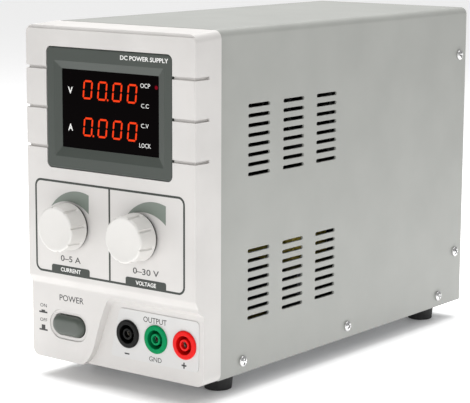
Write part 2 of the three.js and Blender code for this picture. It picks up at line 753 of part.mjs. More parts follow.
function makeCoil() {
  const ring = slab(roundedRect(-COIL.x, COIL.z0, COIL.x, COIL.z1, 5), COIL.y0, COIL.y1);
  const leg = block(
    -COIL.leg, COIL.leg, COIL.y0 - 1, COIL.y1 + 1, CORE.z0 - GAP, CORE.z1 + GAP,
  );
  return without(ring, leg);
}

const MAIN_BOARD = { y0: 24, y1: 74, z: 12, halfWidth: 48, holeInset: 4 };
const CAPACITOR = { x: 20, y: 50, radius: 12.5, crimp: 0.7, height: 39 };

function makeMainBoard() {
  const { y0, y1, z, halfWidth, holeInset } = MAIN_BOARD;
  const board = block(-halfWidth, halfWidth, y0, y1, z, z + BOARD_THICKNESS);
  const holes = [];
  const [low, high] = [z - OVERCUT, z + BOARD_THICKNESS + OVERCUT];
  const drill = [[0, low], [BOARD_HOLE, low], [BOARD_HOLE, high], [0, high]];
  for (const x of [holeInset - halfWidth, halfWidth - holeInset]) {
    for (const y of [y0 + holeInset, y1 - holeInset]) {
      holes.push(turnedUpright(drill, x, y, 6));
    }
  }
  return without(board, ...holes);
}

function makeCapacitor(x, y) {
  const base = MAIN_BOARD.z + BOARD_THICKNESS + GAP;
  const { radius, crimp, height } = CAPACITOR;
  return turnedUpright([
    [0, base],
    [radius - GAP, base],
    [radius, base + 1],
    [radius, base + height - 1],
    [radius - crimp, base + height],
    [0, base + height],
  ], x, y, 14);
}

const HEATSINK = {
  halfWidth: 40, y0: 150, y1: 212, plate: 100, thickness: 4, top: 162, fins: 9, fin: 2,
};
const RECTIFIER = { x0: -30, x1: -4, y0: 168, y1: 194, height: 10 };
const TRANSISTOR = {
  x0: 5, x1: 21, y0: 165, y1: 185, height: 5, leads: [8, 12.5, 17], lead: 1.2, leadEnd: 158, drop: 2.4,
};

function makeHeatsink() {
  const { halfWidth, y0, y1, plate, thickness, top, fins, fin } = HEATSINK;
  const middle = plate + thickness / 2;
  let body = block(-halfWidth, halfWidth, y0, y1, plate, plate + thickness);
  for (let i = 0; i < fins; i += 1) {
    const x = -halfWidth + (i * (2 * halfWidth - fin)) / (fins - 1);
    body = body.add(block(x, x + fin, y0, y1, middle, top));
  }
  for (const x of [-halfWidth, halfWidth - fin]) {
    body = body.add(block(x, x + fin, y0, y1, SHEET + GAP, middle));
  }
  return body;
}

function makeRectifier() {
  const top = HEATSINK.plate - GAP;
  const { x0, x1, y0, y1, height } = RECTIFIER;
  return block(x0, x1, y0, y1, top - height, top);
}

function makeTransistor() {
  const top = HEATSINK.plate - GAP;
  const { x0, x1, y0, y1, height, leads, lead, leadEnd, drop } = TRANSISTOR;
  const legs = leads.map((x) => (
    block(x, x + lead, leadEnd, y0 + OVERCUT, top - drop - 1, top - drop)
  ));
  return joined(block(x0, x1, y0, y1, top - height, top), ...legs);
}

// ---------------------------------------------------------------- fan
const FAN_BACK = PANEL_FRONT - GAP;
const FAN_FRONT = FAN_BACK - FAN.depth;

function makeFanFrame() {
  const { x, z, size, bore } = FAN;
  const { radius, strut, front, strutFront, back, bearing } = FAN_MOTOR;
  const through = [FAN_FRONT - OVERCUT, FAN_BACK + OVERCUT];
  const shell = slab(rectangle(x, z, size, size, 4), FAN_FRONT, FAN_BACK);
  const duct = rod(bore, ...through, x, z, 24);
  const motor = rod(radius, FAN_BACK - front, FAN_BACK - back, x, z, 16);
  const [y0, y1] = [FAN_BACK - strutFront, FAN_BACK - back];
  const reach = bore + 0.5;
  const struts = joined(
    block(x - reach, x + reach, y0, y1, z - strut, z + strut),
    block(x - strut, x + strut, y0, y1, z - reach, z + reach),
  );
  const axle = rod(bearing, ...through, x, z, 8);
  const housing = without(shell, duct, ...fanScrewHoles(...through));
  return without(joined(housing, motor, struts), axle);
}

function makeFanRotor() {
  const { x, z, hub } = FAN;
  const { count, thickness, chord, span, rise, pitch } = BLADE;
  const [y0, y1] = [FAN_FRONT + 2, FAN_BACK - 5];
  const shaft = FAN_MOTOR.bearing - GAP;
  let body = joined(rod(hub, y0, y1, x, z, 16), rod(shaft, y0, FAN_BACK - 1, x, z, 8));
  for (let i = 0; i < count; i += 1) {
    const blade = new THREE.BoxGeometry(thickness, chord, span);
    blade.rotateZ(pitch).translate(0, (y0 + y1) / 2, hub + rise);
    blade.rotateY((i * Math.PI * 2) / count).translate(x, 0, z);
    body = body.add(solid(blade));
  }
  return body;
}

function makeFanGuard() {
  const { x, z, holes } = FAN;
  const { rings, wire, ringRise, spokeRise, eye } = GUARD;
  const [ringY, spokeY] = [PANEL_BACK + ringRise, PANEL_BACK + spokeRise];
  let body = null;
  for (const angle of [Math.PI / 4, -Math.PI / 4]) {
    const spoke = new THREE.CylinderGeometry(wire, wire, 2 * holes * Math.SQRT2, 5);
    const bar = solid(spoke.rotateX(Math.PI / 2).rotateY(angle).translate(x, spokeY, z));
    body = body ? body.add(bar) : bar;
  }
  for (const radius of rings) {
    const ring = new THREE.TorusGeometry(radius, wire, 5, 20);
    body = body.add(solid(ring.rotateX(Math.PI / 2).translate(x, ringY, z)));
  }
  for (const dx of [-holes, holes]) {
    for (const dz of [-holes, holes]) {
      body = body.add(rod(eye, PANEL_BACK + GAP, spokeY + 0.4, x + dx, z + dz, 8));
    }
  }
  return body;
}

// ---------------------------------------------------------------- mains inlet
const SOCKET_Z = INLET.z - SOCKET.drop;
const DRAWER_Z = INLET.z + DRAWER.rise;

function socketOutline() {
  const [w, h, c] = [SOCKET.width / 2, SOCKET.height / 2, SOCKET.chamfer];
  const corners = [[-w, -h], [w, -h], [w, h - c], [w - c, h], [c - w, h], [-w, h - c]];
  return new THREE.Shape(corners.map(([x, z]) => new THREE.Vector2(INLET.x + x, SOCKET_Z + z)));
}

function makeInlet() {
  const { x, z, width, height, front, bodyWidth, bodyHeight, bodyDepth } = INLET;
  const flangeBack = PANEL_BACK + GAP;
  const flange = slab(rectangle(x, z, width, height, 4), flangeBack, front);
  const bodyOutline = rectangle(x, z, bodyWidth, bodyHeight, 1);
  const body = slab(bodyOutline, front - bodyDepth, flangeBack + OVERCUT, 1);
  const drawerHole = block(
    x - DRAWER.width / 2 - GAP, x + DRAWER.width / 2 + GAP,
    front - DRAWER.depth - 1.5, front + OVERCUT,
    DRAWER_Z - DRAWER.height / 2 - GAP, DRAWER_Z + DRAWER.height / 2 + GAP,
  );
  const holes = [-INLET.screwX, INLET.screwX].map((dx) => (
    rod(INLET.screwHole, flangeBack - OVERCUT, front + OVERCUT, x + dx, z, 10)
  ));
  const cavity = slab(socketOutline(), front - SOCKET.depth, front + OVERCUT);
  return without(joined(flange, body), cavity, drawerHole, ...holes);
}

function makeDrawer() {
  const { width, height, depth, back, gripX, gripZ } = DRAWER;
  const { x, front } = INLET;
  const floor = DRAWER_Z - height / 2 + TRAY.floor;
  const body = block(
    x - width / 2, x + width / 2, front - depth, front + 0.5,
    DRAWER_Z - height / 2, DRAWER_Z + height / 2,
  );
  const grip = block(x - gripX, x + gripX, front, back, DRAWER_Z - gripZ, DRAWER_Z + gripZ);
  const tray = block(
    x - TRAY.halfWidth, x + TRAY.halfWidth, front - depth + TRAY.front, front - depth + TRAY.back,
    floor, DRAWER_Z + height,
  );
  return without(joined(body, grip), tray);
}

function makeFuse() {
  const { radius, halfLength } = FUSE;
  const y = INLET.front - DRAWER.depth + (TRAY.front + TRAY.back) / 2;
  const z = DRAWER_Z - DRAWER.height / 2 + TRAY.floor + GAP + radius;
  return crossRod(radius, INLET.x - halfLength, INLET.x + halfLength, y, z, 12);
}

function makeSelector() {
  const { x, z, width, height, flange, bodyX, bodyZ, depth } = SELECTOR;
  const { halfWidth, halfHeight } = CHANNEL;
  const flangeBack = PANEL_BACK + GAP;
  const plate = slab(rectangle(x, z, width, height, 2), flangeBack, flangeBack + flange);
  const body = block(
    x - bodyX, x + bodyX, PANEL_BACK - depth, flangeBack + 0.5, z - bodyZ, z + bodyZ,
  );
  const channel = block(
    x - halfWidth, x + halfWidth, PANEL_BACK - CHANNEL.depth, flangeBack + 2,
    z - halfHeight, z + halfHeight,
  );
  return without(joined(plate, body), channel);
}

function makeSlider() {
  const { x, z } = SELECTOR;
  const { left, right, halfHeight, front, back } = SLIDER;
  return block(
    x + left, x + right, PANEL_BACK - front, PANEL_BACK + back, z - halfHeight, z + halfHeight,
  );
}

// ---------------------------------------------------------------- assembly
const supply = new THREE.Group();
const caseFrame = new THREE.Group();
caseFrame.position.set(0, -(FRONT_REACH + REAR_REACH) / 2, FOOT_HEIGHT);
supply.add(caseFrame);

function add(name, body, material) {
  const result = body.getMesh();
  const geometry = new THREE.BufferGeometry();
  geometry.setAttribute('position', new THREE.BufferAttribute(result.vertProperties, 3));
  geometry.setIndex(new THREE.BufferAttribute(result.triVerts, 1));
  geometry.computeVertexNormals();
  const mesh = new THREE.Mesh(geometry, material);
  mesh.name = name;
  caseFrame.add(mesh);
}

add('fascia', makeFascia(), finish(COLOURS.fascia, 0.5));
add('display_bezel', makeBezel(), finish(COLOURS.bezel, 0.5));
add('display_window', makeWindow(), finish(COLOURS.window, 0.08));
add('display_board', makeDisplayBoard(), finish(COLOURS.board, 0.5));
for (const [name, z] of Object.entries(DIGIT_ROWS)) {
  add(`${name}_digits`, makeDigits(z), finish(COLOURS.black, 0.4));
}
for (const [name, x] of Object.entries(KNOB_X)) {
  add(`${name}_knob`, makeKnob(x), finish(COLOURS.knob, 0.45));
  add(`${name}_shaft`, makeShaft(x), finish(COLOURS.steel, 0.3, 1));
  add(`${name}_rotor`, makeRotor(x), finish(COLOURS.black, 0.5));
  add(`${name}_encoder`, makeEncoder(x), finish(COLOURS.zinc, 0.35, 1));
}
const JACK_COLOURS = { negative: COLOURS.black, ground: COLOURS.green, positive: COLOURS.red };
add('output_label', makeOutputLabel(), finish(COLOURS.label, 0.5));
for (const [name, x] of Object.entries(JACK_X)) {
  add(`${name}_jack`, makeJackBody(x), finish(JACK_COLOURS[name], 0.35));
  add(`${name}_jack_contact`, makeJackContact(x), finish(COLOURS.nickel, 0.25, 1));
  add(`${name}_jack_nut`, makeJackNut(x), finish(COLOURS.black, 0.5));
}
add('power_button', makeButton(), finish(COLOURS.button, 0.4));
add('power_plunger', makePlunger(), finish(COLOURS.label, 0.5));
add('power_switch', makePowerSwitch(), finish(COLOURS.black, 0.5));
add('top_cover', makeCover(), finish(COLOURS.cover, 0.45));
add('chassis_pan', makePan(), finish(COLOURS.zinc, 0.4, 1));
add('rear_panel', makeRearPanel(), finish(COLOURS.cover, 0.45));
for (const [side, hand] of [['left', -1], ['right', 1]]) {
  for (const { name, y, z } of SIDE_SCREWS) {
    add(`screw_${side}_${name}`, makeScrew(hand, y, z), finish(COLOURS.zinc, 0.3, 1));
  }
  for (const [end, y] of Object.entries(FOOT_Y)) {
    add(`foot_${end}_${side}`, makeFoot(hand * FOOT_X, y), finish(COLOURS.rubber, 0.8));
  }
}
add('transformer_core', makeCore(), finish(COLOURS.steel, 0.5, 1));
add('transformer_coil', makeCoil(), finish(COLOURS.tape, 0.45));
add('main_board', makeMainBoard(), finish(COLOURS.board, 0.5));
for (const [side, hand] of [['left', -1], ['right', 1]]) {
  const capacitor = makeCapacitor(hand * CAPACITOR.x, CAPACITOR.y);
  add(`filter_capacitor_${side}`, capacitor, finish(COLOURS.sleeve, 0.35));
}
add('heatsink', makeHeatsink(), finish(COLOURS.aluminium, 0.35, 1));
add('bridge_rectifier', makeRectifier(), finish(COLOURS.black, 0.5));
add('series_transistor', makeTransistor(), finish(COLOURS.black, 0.5));
add('fan_frame', makeFanFrame(), finish(COLOURS.black, 0.5));
add('fan_rotor', makeFanRotor(), finish(COLOURS.black, 0.45));
add('fan_guard', makeFanGuard(), finish(COLOURS.zinc, 0.25, 1));
add('mains_inlet', makeInlet(), finish(COLOURS.black, 0.45));
add('fuse_drawer', makeDrawer(), finish(COLOURS.black, 0.45));
add('fuse', makeFuse(), finish(COLOURS.glass, 0.1));
add('voltage_selector', makeSelector(), finish(COLOURS.black, 0.45));
add('selector_slider', makeSlider(), finish(COLOURS.red, 0.4));

export default supply;
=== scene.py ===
"""Looks of the bench power supply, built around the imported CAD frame.

Pieces are modelled in the case frame, in millimetres: y = 0 is the back of the CAD fascia, z = 0 is
the underside of the chassis pan, and x = 0 is the middle. to_row() carries them to the row frame in
metres, from the places that the frame gives for the cover and the pan.
"""

import json
import math

import bmesh
import bpy
from mathutils import Matrix, Vector


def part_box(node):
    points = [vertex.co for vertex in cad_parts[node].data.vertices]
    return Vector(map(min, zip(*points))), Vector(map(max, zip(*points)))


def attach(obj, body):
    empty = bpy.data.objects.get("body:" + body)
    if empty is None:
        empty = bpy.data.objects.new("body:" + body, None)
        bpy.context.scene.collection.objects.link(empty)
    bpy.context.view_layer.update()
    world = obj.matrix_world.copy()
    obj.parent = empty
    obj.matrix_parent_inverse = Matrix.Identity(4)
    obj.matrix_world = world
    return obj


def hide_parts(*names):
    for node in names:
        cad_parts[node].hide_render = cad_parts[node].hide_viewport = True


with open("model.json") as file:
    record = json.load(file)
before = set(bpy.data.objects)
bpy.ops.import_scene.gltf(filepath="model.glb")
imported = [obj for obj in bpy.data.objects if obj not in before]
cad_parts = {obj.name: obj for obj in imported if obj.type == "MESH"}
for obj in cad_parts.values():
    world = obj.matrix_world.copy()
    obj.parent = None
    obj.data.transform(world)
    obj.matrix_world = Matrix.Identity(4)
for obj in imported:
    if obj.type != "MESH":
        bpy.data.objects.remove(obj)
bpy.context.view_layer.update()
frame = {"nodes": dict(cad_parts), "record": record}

MM = 0.001
GAP = 0.3  # clearance between neighbouring parts

# ---- places taken from the frame
ORIGIN = Vector((0.0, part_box("top_cover")[0][1] - GAP * MM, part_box("chassis_pan")[0][2]))


def node_box(node):
    """A CAD node's corners in the case frame, in millimetres."""
    low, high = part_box(node)
    return [tuple((corner[i] - ORIGIN[i]) / MM for i in range(3)) for corner in (low, high)]


def middle(node):
    low, high = node_box(node)
    return [(a + b) / 2 for a, b in zip(low, high)]


FASCIA_LOW, FASCIA_HIGH = node_box("fascia")
HALF_WIDTH = FASCIA_HIGH[0]
FRONT = FASCIA_LOW[1]
FASCIA_TOP = FASCIA_HIGH[2]
COVER_HALF, CASE_BACK, CASE_TOP = node_box("top_cover")[1]

JOINT = -0.9  # the visible seam between fascia and cover
POWER_FACE, OUTPUT_FACE = -19.7, -15.4  # the lower faces, set back behind the front
STEP_TOP, STEP_FOOT = 45.0, 41.2
OUTPUT_TOP, OUTPUT_RISE = 36.7, 0.67  # top of the output field, and how far it rises per mm forward
WALL = 3.0
AHEAD = FRONT - 2  # a plane ahead of the fascia, where cutters start
PRINT = 0.04  # how far print stands out of a face, and reaches into it


# ---- mesh helpers
def to_row(mesh):
    mesh.transform(Matrix.Translation(ORIGIN) @ Matrix.Scale(MM, 4))


def new_object(name, data):
    thing = bpy.data.objects.new(name, data)
    bpy.context.scene.collection.objects.link(thing)
    return thing


def mesh_of(points, faces):
    mesh = bpy.data.meshes.new("shape")
    mesh.from_pydata([tuple(p) for p in points], [], faces)
    tidy(mesh)
    return mesh


def tidy(mesh, distance=1e-5):
    shape = bmesh.new()
    shape.from_mesh(mesh)
    bmesh.ops.remove_doubles(shape, verts=shape.verts, dist=distance)
    bmesh.ops.recalc_face_normals(shape, faces=shape.faces)
    shape.to_mesh(mesh)
    shape.free()


def loft(sections, closed=False):
    """Skins equal loops of points. The ends are capped, or joined to each other if closed."""
    count = len(sections[0])
    points = [p for section in sections for p in section]
    faces = []
    rows = len(sections) if closed else len(sections) - 1
    for row in range(rows):
        a, b = row * count, ((row + 1) % len(sections)) * count
        for i in range(count):
            j = (i + 1) % count
            faces.append((a + i, a + j, b + j, b + i))
    if not closed:
        last = (len(sections) - 1) * count
        faces.append(tuple(reversed(range(count))))
        faces.append(tuple(range(last, last + count)))
    return mesh_of(points, faces)


def joined(*meshes):
    """Several meshes as one, side by side."""
    shape = bmesh.new()
    for mesh in meshes:
        shape.from_mesh(mesh)
    result = bpy.data.meshes.new("joined")
    shape.to_mesh(result)
    shape.free()
    return result


def final_mesh(thing):
    """An object's evaluated mesh. The object itself is removed."""
    bpy.context.view_layer.update()
    evaluated = thing.evaluated_get(bpy.context.evaluated_depsgraph_get())
    mesh = bpy.data.meshes.new_from_object(evaluated)
    bpy.data.objects.remove(thing)
    return mesh


def combined(base, tool, operation):
    """An exact boolean of two closed meshes."""
    target, cutter = new_object("target", base), new_object("cutter", tool)
    modifier = target.modifiers.new("cut", "BOOLEAN")
    modifier.operation = operation
    modifier.solver = "EXACT"
    modifier.object = cutter
    result = final_mesh(target)
    bpy.data.objects.remove(cutter)
    tidy(result)
    return result


def cut(base, *tools):
    for tool in tools:
        base = combined(base, tool, "DIFFERENCE")
    return base


def flatten(shape, degrees):
    limit = math.radians(degrees)
    bmesh.ops.dissolve_limit(shape, angle_limit=limit, verts=shape.verts, edges=shape.edges)


def soften(mesh, width, segments, choose, min_angle):
    """Rounds the edges sharper than min_angle whose two ends choose() accepts."""
    shape = bmesh.new()
    shape.from_mesh(mesh)
    flatten(shape, 0.3)
    limit = math.radians(min_angle)
    edges = []
    for edge in shape.edges:
        if len(edge.link_faces) != 2 or edge.calc_face_angle(0) < limit:
            continue
        if all(choose(vert.co) for vert in edge.verts):
            edges.append(edge)
    bmesh.ops.bevel(
        shape, geom=edges, offset=width, segments=segments, profile=0.5,
        affect="EDGES", clamp_overlap=True, miter_outer="ARC",
    )
    bmesh.ops.remove_doubles(shape, verts=shape.verts, dist=1e-4)
    bmesh.ops.recalc_face_normals(shape, faces=shape.faces)
    shape.to_mesh(mesh)
    shape.free()
    return mesh


def arc(cx, cy, radius, start, end, steps):
    return [
        (cx + radius * math.cos(a), cy + radius * math.sin(a))
        for a in (math.radians(start + (end - start) * i / steps) for i in range(steps + 1))
    ]


def quarter(steps):
    """The angles of a quarter turn, from 0 on."""
    return [math.radians(90 * i / steps) for i in range(steps + 1)]


def rounded(x0, z0, x1, z1, radius, steps=8):
    """A rounded rectangle's outline, anticlockwise from its lower right corner."""
    radius = max(radius, 0.01)
    points = arc(x1 - radius, z0 + radius, radius, -90, 0, steps)
    points += arc(x1 - radius, z1 - radius, radius, 0, 90, steps)
    points += arc(x0 + radius, z1 - radius, radius, 90, 180, steps)
    points += arc(x0 + radius, z0 + radius, radius, 180, 270, steps)
    return points


def stadium(cx, cz, width, height, steps=12):
    return rounded(
        cx - width / 2, cz - height / 2, cx + width / 2, cz + height / 2, height / 2 - 0.01, steps,
    )


def circle(cx, cz, radius, steps):
    return arc(cx, cz, radius, 0, 360 - 360 / steps, steps - 1)


def arc_through(a, b, c, steps):
    """Points on the circle arc from a through b to c."""
    (ax, ay), (bx, by), (cx, cy) = a, b, c
    d = 2 * (ax * (by - cy) + bx * (cy - ay) + cx * (ay - by))
    sa, sb, sc = ax * ax + ay * ay, bx * bx + by * by, cx * cx + cy * cy
    ux = (sa * (by - cy) + sb * (cy - ay) + sc * (ay - by)) / d
    uy = (sa * (cx - bx) + sb * (ax - cx) + sc * (bx - ax)) / d
    radius = math.hypot(ax - ux, ay - uy)
    start, via, end = (math.degrees(math.atan2(y - uy, x - ux)) for x, y in (a, b, c))
    forward = (end - start) % 360
    if (via - start) % 360 > forward:
        forward -= 360
    return arc(ux, uy, radius, start, start + forward, steps)


def curve_through(start, pull, end, steps):
    """A quadratic curve from start to end, drawn towards pull."""
    ts = [i / steps for i in range(steps + 1)]
    return [tuple(start * (1 - t) ** 2 + pull * 2 * t * (1 - t) + end * t ** 2) for t in ts]


def inset(outline, distance):
    """The outline moved inwards by a mitred offset; it runs anticlockwise."""
    points = []
    count = len(outline)
    for i, (x, z) in enumerate(outline):
        px, pz = outline[i - 1]
        nx, nz = outline[(i + 1) % count]
        before = Vector((x - px, z - pz)).normalized()
        after = Vector((nx - x, nz - z)).normalized()
        normal = Vector((-(before.y + after.y), before.x + after.x)).normalized()
        scale = max(0.3, normal.dot(Vector((-before.y, before.x))))
        points.append((x + normal.x * distance / scale, z + normal.y * distance / scale))
    return points


def at_y(outline, y):
    return [(x, y, z) for x, z in outline]


def slab(outline, y0, y1, front_edge=0.0, back_edge=0.0, steps=4):
    """An outline extruded from y0 to y1, its front and back rims rounded."""
    sections = []
    if front_edge:
        for a in quarter(steps)[:-1]:
            d = front_edge * (1 - math.sin(a))
            sections.append(at_y(inset(outline, d), y0 + front_edge * (1 - math.cos(a))))
    sections.append(at_y(outline, y0 + front_edge))
    sections.append(at_y(outline, y1 - back_edge))
    if back_edge:
        for a in quarter(steps)[1:]:
            d = back_edge * (1 - math.cos(a))
            sections.append(at_y(inset(outline, d), y1 - back_edge * (1 - math.sin(a))))
    return loft(sections)


def bar_along_x(outline, x0, x1):
    """An outline in Y and Z extruded along X."""
    return loft([[(x, y, z) for y, z in outline] for x in (x0, x1)])


def block(x0, x1, y0, y1, z0, z1):
    return slab([(x1, z0), (x1, z1), (x0, z1), (x0, z0)], y0, y1)


def filleted(profile, radii, steps=4):
    """A polyline with its inner corners rounded, by one radius each."""
    points = [profile[0]]
    for i, radius in enumerate(radii, 1):
        here = Vector(profile[i])
        before = Vector(profile[i - 1]) - here
        after = Vector(profile[i + 1]) - here
        half = before.angle(after) / 2
        reach = min(radius / math.tan(half), before.length * 0.49, after.length * 0.49)
        start, end = here + before.normalized() * reach, here + after.normalized() * reach
        points += curve_through(start, here, end, steps)
    points.append(profile[-1])
    return points


def turned(profile, cx, cz, steps, closed=False):
    """A profile of (radius, y) points turned about the Y axis through (cx, cz)."""
    sections = []
    for i in range(steps):
        a = 2 * math.pi * i / steps
        sections.append([(cx + r * math.cos(a), y, cz + r * math.sin(a)) for r, y in profile])
    points = [p for s in sections for p in s]
    count = len(profile)
    faces = []
    last = count if closed else count - 1
    for i in range(steps):
        a, b = i * count, ((i + 1) % steps) * count
        for k in range(last):
            n = (k + 1) % count
            faces.append((a + k, a + n, b + n, b + k))
    return mesh_of(points, faces)


def rod(radius, y0, y1, cx, cz, steps=48):
    return slab(circle(cx, cz, radius, steps), y0, y1)


# ---- materials
def link(tree, source, output, target, socket):
    tree.links.new(source.outputs[output], target.inputs[socket])


def fill(node, **values):
    """Sets a node's inputs; an underscore stands for a space."""
    for name, value in values.items():
        node.inputs[name.replace("_", " ")].default_value = value


def add(tree, kind, **values):
    node = tree.nodes.new(f"ShaderNode{kind}")
    fill(node, **values)
    return node


def surface(
    name, colour, roughness, metallic=0.0, grain=0.6, bump=0.04, mottle=0.04,
    coat=0.0, stretch=(1, 1, 1), rough_spread=0.06, emission=None, strength=0.0, ior=1.5,
):
    """A moulded, painted or metal finish: slow mottling in colour, fine grain in gloss and bump.

    grain is the size of the fine texture in millimetres.
    """
    material = bpy.data.materials.new(name)
    material.use_nodes = True
    tree = material.node_tree
    shader = tree.nodes["Principled BSDF"]
    where = add(tree, "TexCoord")
    spread = add(tree, "Mapping", Scale=stretch)
    link(tree, where, "Object", spread, "Vector")

    cloud = add(tree, "TexNoise", Scale=35, Detail=4)
    link(tree, spread, "Vector", cloud, "Vector")
    tone = add(tree, "ValToRGB")
    ramp = tone.color_ramp.elements
    ramp[0].position, ramp[1].position = 0.3, 0.7
    ramp[0].color = [c * (1 - mottle) for c in colour] + [1]
    ramp[1].color = [min(1, c * (1 + mottle)) for c in colour] + [1]
    link(tree, cloud, "Fac", tone, "Fac")
    link(tree, tone, "Color", shader, "Base Color")

    fine = add(tree, "TexNoise", Scale=1 / (grain * MM), Detail=3)
    link(tree, spread, "Vector", fine, "Vector")
    dull, shiny = min(1, roughness + rough_spread), max(0.02, roughness - rough_spread)
    gloss = add(tree, "MapRange", To_Min=shiny, To_Max=dull)
    link(tree, fine, "Fac", gloss, "Value")
    link(tree, gloss, "Result", shader, "Roughness")
    relief = add(tree, "Bump", Strength=bump, Distance=0.2 * MM)
    link(tree, fine, "Fac", relief, "Height")
    link(tree, relief, "Normal", shader, "Normal")

    fill(shader, Metallic=metallic, IOR=ior, Coat_Weight=coat, Coat_Roughness=0.08)
    if emission:
        fill(shader, Emission_Color=(*emission, 1), Emission_Strength=strength)
    return material


FINISHES = {
    "fascia": surface("fascia_plastic", (0.618, 0.6, 0.582), 0.42, grain=0.5, bump=0.05),
    "cover": surface("cover_paint", (0.352, 0.358, 0.337), 0.4, grain=0.9, bump=0.10, coat=0.1),
    "bezel": surface("bezel_plastic", (0.0455, 0.055, 0.047), 0.45, grain=0.4, bump=0.06),
    "window": surface(
        "display_gloss", (0.0012, 0.0006, 0.0007), 0.06, bump=0.0, rough_spread=0.01, ior=1.08,
    ),
    "knob": surface("knob_plastic", (0.66, 0.646, 0.622), 0.36, grain=0.4, bump=0.03),
    "button": surface("button_plastic", (0.067, 0.079, 0.067), 0.3, grain=0.4, bump=0.03),
    "label": surface("label_film", (0.622, 0.617, 0.608), 0.45, grain=0.3, bump=0.03),
    "black": surface("black_plastic", (0.018, 0.018, 0.019), 0.38, grain=0.4, bump=0.05),
    "jack_black": surface("jack_black", (0.004, 0.004, 0.004), 0.3, bump=0.02, ior=1.22),
    "jack_green": surface("green_plastic", (0.0, 0.25, 0.085), 0.4, bump=0.02, ior=1.16),
    "jack_red": surface("red_plastic", (0.75, 0.004, 0.003), 0.32, bump=0.02, ior=1.25),
    "zinc": surface("zinc_steel", (0.62, 0.63, 0.64), 0.32, 1.0, 0.8, 0.06, 0.08),
    "screw": surface("screw_steel", (0.70, 0.70, 0.70), 0.25, 1.0, 0.3, 0.03, 0.05),
    "nickel": surface("nickel", (0.70, 0.67, 0.60), 0.22, 1.0, 0.4, 0.03, 0.05),
    "wire": surface("chromed_wire", (0.62, 0.62, 0.63), 0.2, 1.0, 0.4, 0.03, 0.05),
    "rubber": surface("foot_rubber", (0.012, 0.012, 0.012), 0.62, grain=0.5, bump=0.12),
    "board": surface("board", (0.02, 0.12, 0.04), 0.35, grain=1.2, bump=0.08, mottle=0.2),
    "core": surface(
        "core_steel", (0.10, 0.10, 0.11), 0.45, 1.0, 0.35, 0.5, 0.2, stretch=(0.02, 0.02, 1),
    ),
    "tape": surface("coil_tape", (0.92, 0.72, 0.14), 0.32, grain=3.0, bump=0.3, mottle=0.12),
    "aluminium": surface(
        "aluminium", (0.12, 0.12, 0.125), 0.42, 1.0, 0.5, 0.1, 0.06, stretch=(1, 0.03, 1),
    ),
    "sleeve": surface("sleeve", (0.02, 0.03, 0.08), 0.25, grain=2.0, bump=0.05),
    "digits": surface(
        "lit_segments", (0.02, 0.002, 0.001), 0.4, bump=0.0,
        emission=(1.0, 0.055, 0.008), strength=1.0, ior=1.1,
    ),
    "led": surface(
        "lit_indicator", (0.02, 0.0, 0.001), 0.4, bump=0.0,
        emission=(0.8, 0.002, 0.03), strength=0.22, ior=1.1,
    ),
}
INKS = {
    "print_dark": (0.03, 0.037, 0.031), "print_green": (0.19, 0.222, 0.192),
    "print_black": (0.03, 0.03, 0.03), "print_white": (0.80, 0.80, 0.78),
}
for ink, ink_colour in INKS.items():
    FINISHES[ink] = surface(ink, ink_colour, 0.5, grain=0.3, bump=0.02)


# ---- placing a piece
def place(name, mesh, material, body="case", replaces=(), smooth=32):
    """Makes a case-frame mesh a piece that rides on a body."""
    to_row(mesh)
    tidy(mesh, 1e-8)
    mesh.materials.clear()
    mesh.materials.append(FINISHES[material])
    for polygon in mesh.polygons:
        polygon.use_smooth = True
    mesh.set_sharp_from_angle(angle=math.radians(smooth))
    piece = new_object(name, mesh)
    weighted = piece.modifiers.new("weighted", "WEIGHTED_NORMAL")
    weighted.keep_sharp = True
    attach(piece, body)
    if replaces:
        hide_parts(*replaces)


LETTER_DEPTH, LETTER_SUNK = 0.05, 0.02


def lettering(text, x, z, width, height, face, weight=0.0):
    """Raised lettering centred on (x, z), width by height, on a plane y = face."""
    curve = bpy.data.curves.new("text", "FONT")
    curve.body = text
    curve.size = 1.0
    curve.offset = weight
    curve.resolution_u = 3
    flat = final_mesh(new_object("text", curve))
    spans = [[v.co[axis] for v in flat.vertices] for axis in (0, 1)]
    (left, right), (low, high) = [(min(span), max(span)) for span in spans]
    across, up = width / (right - left), height / (high - low)
    shape = bmesh.new()
    shape.from_mesh(flat)
    bmesh.ops.remove_doubles(shape, verts=shape.verts, dist=1e-5)
    flatten(shape, 1)
    solid = bmesh.ops.extrude_face_region(shape, geom=list(shape.faces))
    lifted = [v for v in solid["geom"] if isinstance(v, bmesh.types.BMVert)]
    for vert in lifted:
        vert.co.z = LETTER_DEPTH
    for vert in shape.verts:
        u = (vert.co.x - (left + right) / 2) * across
        v = (vert.co.y - (low + high) / 2) * up
        vert.co = (x + u, face - (vert.co.z - LETTER_SUNK), z + v)
    bmesh.ops.recalc_face_normals(shape, faces=shape.faces)
    mesh = bpy.data.meshes.new("text")
    shape.to_mesh(mesh)
    shape.free()
    return mesh


def printed(outline, face, proud=PRINT):
    """A thin printed area on a front-facing plane."""
    return slab(outline, face - proud, face + PRINT)


# ---- camera, light and floor
VIEW_AZIMUTH, VIEW_ELEVATION, VIEW_ROLL = 37.51, 9.76, 0.23  # degrees
VIEW_LENS, SENSOR = 135.5, 36
EYE = (596.9, -692.7, 244.9)  # in the case frame
SKY = 0.41
# The floor's emission is painted light and shade: low under the object for a painted shadow, high near
# it for a painted pool of light, lower far away.
FLOOR_PAINTED_LIGHT = (0.06, 0.86, 0.46)  # under the object, near it and far away
PAINTED_SHADOW_EDGE = (-0.012, 0.024)  # distance from the object over which the glow rises
PAINTED_POOL_FADE = (0.1, 0.5)  # and over which it fades


